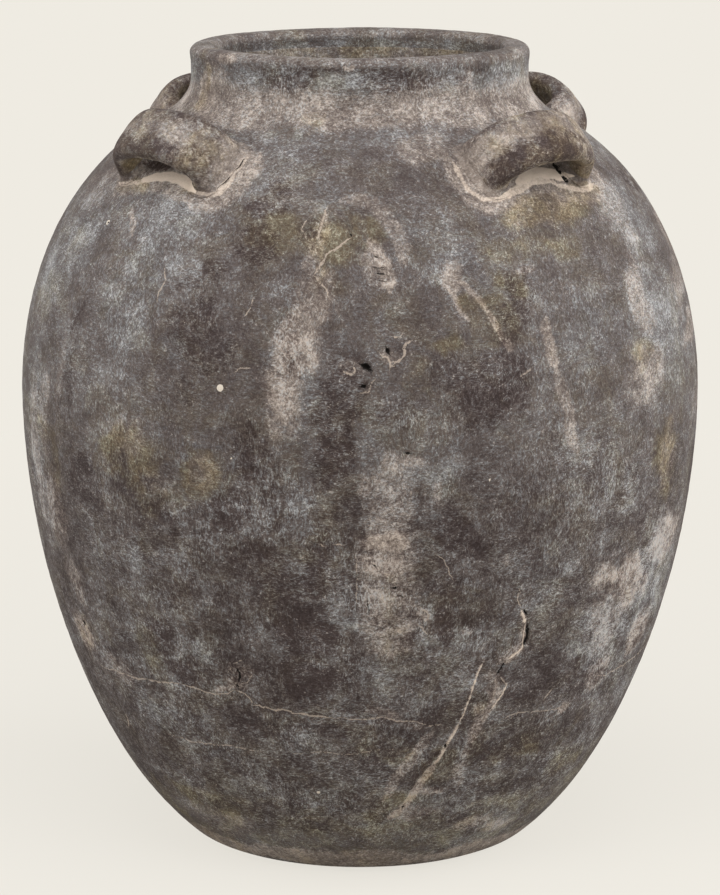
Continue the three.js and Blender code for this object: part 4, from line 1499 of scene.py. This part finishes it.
class ClayPattern:
    """The noises of a clay material, from broad clouds to fine grain. All swing evenly about 0."""

    def __init__(self, clay):
        place = clay.place()
        upright = clay.stretched(place, (1, 1, 0.22))
        level = clay.stretched(place, (1, 1, 3.2))
        self.cloud = clay.swing(place, 95 * MM, 2, 0.5, 0.3)
        self.drag = clay.swing(level, 30 * MM, 2, 0.55, 0.4)
        self.hue = clay.swing(place, 26 * MM, 4, 0.7, 0.6)
        self.streak = clay.swing(upright, 22 * MM, 2, 0.55, 0.3)
        self.mottle = clay.swing(place, 16 * MM, 3, 0.6, 0.5)
        self.speckle = clay.swing(place, 3.6 * MM, 2, 0.6, 0.8)
        self.grain = clay.swing(place, 1.35 * MM, 2, 0.75, 0.6)
        self.fibre = winding_fibres(clay, place)
        self.ragged = clay.total((self.mottle, 1.0), (self.speckle, 0.7), (self.fibre, 0.5))
        self.broken = clay.total((self.speckle, 0.9), (self.grain, 0.9), (self.mottle, 0.6))


def winding_fibres(clay, place):
    """Fine winding lines, level in places and upright in others, with slanting and round ones over both."""
    level = clay.fibres(clay.stretched(place, (1, 1, 3)), 5 * MM, 0.09, 0.9)
    upright = clay.fibres(clay.stretched(place, (1, 1, 0.4)), 2.4 * MM, 0.09, 0.9)
    slanting = clay.fibres(clay.stretched(place, (1, 1, 3), (0.7, 0.5, 0)), 5 * MM, 0.09, 0.9)
    round_ones = clay.fibres(place, 3 * MM, 0.07, 1.2)
    lie = clay.span(clay.noise(place, 34 * MM, 2), 0.42, 0.58)
    lying = clay.sum("MULTIPLY", level, lie)
    standing = clay.sum("MULTIPLY", upright, clay.sum("SUBTRACT", 1.0, lie))
    return clay.total((lying, 1.2), (standing, 1.2), (slanting, 0.6), (round_ones, 0.5), start=-0.6)


class ClayCoat:
    """What is painted on the clay, with its edges frayed by the clay's own pattern."""

    def __init__(self, clay, pattern):
        self.pale = clay.layer("pale")
        self.bloom = clay.layer("bloom")
        # Smoke and painted shade, frayed at the edges
        soot_and_shade = clay.layer("soot_and_shade")
        fray = fray_where(clay, pattern.ragged, soot_and_shade, 0.4)
        self.soot_and_shade = clay.total((soot_and_shade, 1.05), (fray, -0.6), clamp=True)
        fray = fray_where(clay, pattern.broken, self.pale, 0.5)
        self.wash = clay.total((clay.sum("MINIMUM", self.pale, 1.0), 1.2), (fray, 0.34), clamp=True)
        ochre = clay.layer("ochre")
        fray = fray_where(clay, pattern.mottle, ochre, 0.4)
        self.stain = clay.total(
            (ochre, 0.9), (fray, 0.8), (self.wash, -0.4), (pattern.hue, 0.9), start=0.08, clamp=True
        )


def fray_where(clay, noise, layer, full):
    """A noise that counts only where a layer is painted, and fully from the given strength on."""
    return clay.sum("MULTIPLY", noise, clay.span(layer, 0, full))


def clay_tone(clay, pattern, coat, grit):
    """How pale the clay is, from 0 for bare smoked clay to 1 for the palest rubbing. Wash calms the grain."""
    grain = clay.total((pattern.grain, 0.38), (pattern.fibre, 0.235))
    calmed = clay.sum("MULTIPLY", grain, clay.total((coat.wash, -0.3 * grit), start=grit))
    broad = (pattern.cloud, 0.34), (pattern.drag, 0.16), (pattern.streak, 0.12)
    close = (pattern.mottle, 0.28), (pattern.speckle, 0.14), (calmed, 1.0)
    painted = (coat.bloom, 0.32), (coat.wash, 0.35), (coat.soot_and_shade, -0.1)
    return clay.total(*broad, *close, *painted, start=0.38, clamp=True)


def clay_colour(clay, pattern, coat, tone, colours):
    """The tone's colour, cooled by bloom, darkened by smoke and painted shade and warmed by wash and ochre.
    """
    colour = clay.ramp(tone, (
        (0.0, colours.dark_clay),
        (0.38, colours.brown_clay),
        (0.68, colours.grey_clay),
        (1.0, colours.rubbed_clay),
    ))
    cooling = (coat.bloom, 0.9), (pattern.fibre, 0.8), (pattern.mottle, 0.4), (pattern.cloud, 0.5)
    warming = (coat.wash, -0.6), (coat.soot_and_shade, -0.4)
    cool = clay.total(*cooling, *warming, start=0.3, clamp=True)
    colour = clay.tint(cool, colour, colours.bloom_tint)
    colour = clay.tint(clay.span(coat.soot_and_shade, 0, 1), colour, colours.soot_and_shade_tint)
    colour = clay.tint(coat.wash, colour, colours.wash_tint)
    return clay.tint(coat.stain, colour, colours.ochre_tint)


def marked_colour(clay, pattern, coat, tone, colour, colours):
    """The colour with what lies on the clay: rubbed flecks, thick slip, scratches and grit, with painted
    light in the thickest slip and painted shade in cracks and pits.
    """
    flecks = clay.total((pattern.speckle, 0.5), (pattern.grain, 1.0), (tone, 0.35))
    colour = clay.mix(clay.span(flecks, 0.62, 0.85, 0, 0.4), colour, colours.rubbed_clay)
    # Thick slip, and painted light where the pale strips under the arches go past 1
    slip = clay.total((pattern.broken, 0.12), start=coat.pale)
    colour = clay.mix(clay.span(slip, 0.85, 1.3, 0, 0.85), colour, colours.cream_slip_and_painted_light)
    scratch = line_mask(clay, "scratch", clay.sum("MULTIPLY", pattern.speckle, 2.4), pattern.broken, 0.9)
    colour = clay.mix(clay.sum("MULTIPLY", scratch, 0.7), colour, colours.beige_wash)
    colour = clay.mix(clay.span(clay.layer("pebble"), 0.4, 0.6), colour, colours.pebble)
    # Painted shade in the openings of cracks and pits
    crack = line_mask(clay, "crack", clay.sum("MULTIPLY", pattern.speckle, 1.2), pattern.grain, 0.6)
    hole = clay.sum("MAXIMUM", crack, clay.span(clay.layer("pit"), 0.35, 0.6))
    return clay.mix(hole, colour, colours.hollow)


def line_mask(clay, kind, bend, broken, roughness):
    """1 inside a line and 0 beyond its reach. One noise bends it, the other frays it and breaks it up."""
    side = clay.sum("ABSOLUTE", clay.sum("ADD", bend, clay.layer(kind + "_side")))
    near = clay.layer(kind + "_near")
    inside = clay.span(clay.total((broken, roughness), start=side), 0.6, 1.3, 1.0, 0.0)
    whole = clay.span(clay.total((broken, 0.8), start=near), 0.3, 0.8)
    return clay.sum("MULTIPLY", clay.sum("MULTIPLY", inside, whole), clay.span(near, 0.05, 0.25))


def clay_material(name, colours, grit=1.0):
    """Smoked clay under a rubbed bloom and a worn wash, dull and gritty. Grit is the grain's strength."""
    clay = Recipe.of_material(name)
    pattern = ClayPattern(clay)
    coat = ClayCoat(clay, pattern)
    tone = clay_tone(clay, pattern, coat, grit)
    colour = clay_colour(clay, pattern, coat, tone, colours)
    colour = marked_colour(clay, pattern, coat, tone, colour, colours)
    clay.feed(clay.surface.inputs["Base Color"], colour)
    clay.surface.inputs["Specular IOR Level"].default_value = 0.16
    clay.feed(clay.surface.inputs["Roughness"], clay.span(tone, 0, 1, 0.84, 0.98))
    rough = clay.bump(pattern.mottle, 0.5 * MM)
    rough = clay.bump(pattern.speckle, 0.25 * MM, rough)
    rough = clay.bump(pattern.grain, 0.12 * MM, rough)
    clay.feed(clay.surface.inputs["Normal"], rough)
    return clay.material


# Stage


CAMERA_LENS = 129.6                 # millimetres, on a 36 mm sensor
CAMERA_DISTANCE = 2.0
CAMERA_HEIGHT = 0.6897
CAMERA_AIM = 0.2426                 # height on the pot's axis that the camera looks at
WORLD_LIGHT = 0.3
FLOOR_RADII = (0.05, 1, 3, 8, 16)
FLOOR_COLOUR = (0.60, 0.585, 0.55)  # as lit, apart from what the camera sees

# Soft lamps: angle from the camera's side, distance, height, height they face, width, height, power
LAMPS = {
    "top_softbox": (-2, 1.0, 2.1, 0.35, 1.8, 1.6, 42),
    "left_front_softbox": (-46, 1.9, 1.35, 0.4, 1.0, 1.0, 12),
    "right_front_softbox": (46, 1.9, 1.35, 0.4, 1.0, 1.0, 12),
    "left_softbox": (-98, 1.9, 0.9, 0.25, 0.9, 1.8, 20),
    "right_softbox": (94, 1.9, 0.9, 0.25, 0.9, 1.8, 33),
}


def put_on_stage(name, data, view_angle, distance, height, aim_height):
    """A camera or lamp at an angle from the camera's side, turned to face a height on the pot's axis."""
    thing = bpy.data.objects.new(name, data)
    thing.location = on_pot(view_angle * DEGREE, distance, height)
    aim = Vector((0, 0, aim_height))
    thing.rotation_euler = (aim - thing.location).to_track_quat("-Z", "Y").to_euler()
    bpy.context.scene.collection.objects.link(thing)
    return thing


def make_camera():
    """The photograph's camera, fitted to the pot's outline."""
    data = bpy.data.cameras.new("camera")
    data.lens = CAMERA_LENS
    data.sensor_width = 36
    data.clip_end = 40
    return put_on_stage("camera", data, 0, CAMERA_DISTANCE, CAMERA_HEIGHT, CAMERA_AIM)


def make_lamp(name, view_angle, distance, height, aim_height, width, length, power):
    """A soft rectangular lamp."""
    data = bpy.data.lights.new(name, "AREA")
    data.shape = "RECTANGLE"
    data.size = width
    data.size_y = length
    data.energy = power
    put_on_stage(name, data, view_angle, distance, height, aim_height)


class URN_OT_stage(bpy.types.Operator):
    """Set the pale floor, the studio light and the camera"""

    bl_idname = "urn.stage"
    bl_label = "Studio"

    def execute(self, context):
        scene = context.scene
        scene.view_settings.view_transform = "Standard"
        scene.camera = make_camera()
        floor = make_floor(scene.urn_colours)
        make_world(scene.urn_colours)
        for name, lamp in LAMPS.items():
            make_lamp(name, *lamp)
        return {"FINISHED"}


def make_floor(colours):
    """A round floor, wide enough to fill the view, as rings of quads round a small disc."""
    sides = 96
    angle = np.arange(sides) / sides * math.tau
    ring, turn = np.meshgrid(FLOOR_RADII, angle, indexing="ij")
    points = np.stack([ring * np.cos(turn), ring * np.sin(turn), 0 * turn], axis=-1).reshape(-1, 3)
    first = np.arange(sides)
    fan = np.stack([np.full(sides, len(points)), first, np.roll(first, -1)], axis=-1)
    faces = grid_faces(len(FLOOR_RADII), sides, False)[:, ::-1]
    floor = make_mesh("floor", np.append(points, [(0, 0, 0)], axis=0), faces, fan)
    floor.data.materials.append(floor_material(colours))
    return floor


def floor_material(colours):
    """A matt pale floor.

    The camera sees the backdrop's own colour there, mixed near the pot with the soft shadow on the floor.
    """
    floor = Recipe.of_material("pale_floor")
    floor.feed(floor.surface.inputs["Base Color"], FLOOR_COLOUR)
    floor.surface.inputs["Roughness"].default_value = 1
    floor.surface.inputs["Specular IOR Level"].default_value = 0
    glow = floor.nodes.new("ShaderNodeEmission")
    floor.feed(glow.inputs["Color"], colours.backdrop)
    distance = floor.nodes.new("ShaderNodeVectorMath")
    distance.operation = "LENGTH"
    floor.feed(distance.inputs[0], floor.place())
    own = floor.span(distance.outputs["Value"], 0.2, 1.2, 0.84, 1)
    share = floor.sum("MULTIPLY", seen_directly(floor), own)
    shown = floor.mix_shaders(share, floor.surface.outputs[0], glow.outputs[0])
    floor.links.new(shown, floor.nodes["Material Output"].inputs["Surface"])
    return floor.material


def seen_directly(recipe):
    """1 for the camera's own rays and for what metal or glass would show of the surroundings."""
    rays = recipe.nodes.new("ShaderNodeLightPath").outputs
    shown = recipe.sum("MAXIMUM", rays["Is Camera Ray"], rays["Is Glossy Ray"])
    return recipe.sum("MAXIMUM", shown, rays["Is Transmission Ray"])


def make_world(colours):
    """An even light all round, and the backdrop's colour where the surroundings are seen."""
    world = bpy.data.worlds.new("studio")
    world.use_nodes = True
    sky = Recipe(world.node_tree)
    light = sky.nodes["Background"]
    light.inputs["Color"].default_value = (1, 1, 1, 1)
    light.inputs["Strength"].default_value = WORLD_LIGHT
    seen = sky.nodes.new("ShaderNodeBackground")
    sky.feed(seen.inputs["Color"], colours.backdrop)
    shown = sky.mix_shaders(seen_directly(sky), light.outputs[0], seen.outputs[0])
    sky.links.new(shown, sky.nodes["World Output"].inputs["Surface"])
    bpy.context.scene.world = world


# Add-on


OPERATORS = (URN_OT_stage, URN_OT_wall, URN_OT_neck, URN_OT_handles, URN_OT_luting)


class URN_PT_pieces(bpy.types.Panel):
    """Lists the pieces of the urn"""

    bl_idname = "URN_PT_pieces"
    bl_label = "Terracotta urn"
    bl_space_type = "VIEW_3D"
    bl_region_type = "UI"
    bl_category = "Urn"

    def draw(self, context):
        for operator in OPERATORS:
            self.layout.operator(operator.bl_idname)


CLASSES = (UrnSizes, UrnColours, *OPERATORS, URN_PT_pieces)


def register():
    for item in CLASSES:
        bpy.utils.register_class(item)
    bpy.types.Scene.urn_sizes = bpy.props.PointerProperty(type=UrnSizes)
    bpy.types.Scene.urn_colours = bpy.props.PointerProperty(type=UrnColours)


def unregister():
    del bpy.types.Scene.urn_colours
    del bpy.types.Scene.urn_sizes
    for item in reversed(CLASSES):
        bpy.utils.unregister_class(item)


def main():
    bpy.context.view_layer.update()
    register()
    for operator in OPERATORS:
        group, action = operator.bl_idname.split(".")
        getattr(getattr(bpy.ops, group), action)()


if __name__ == "__main__":
    main()
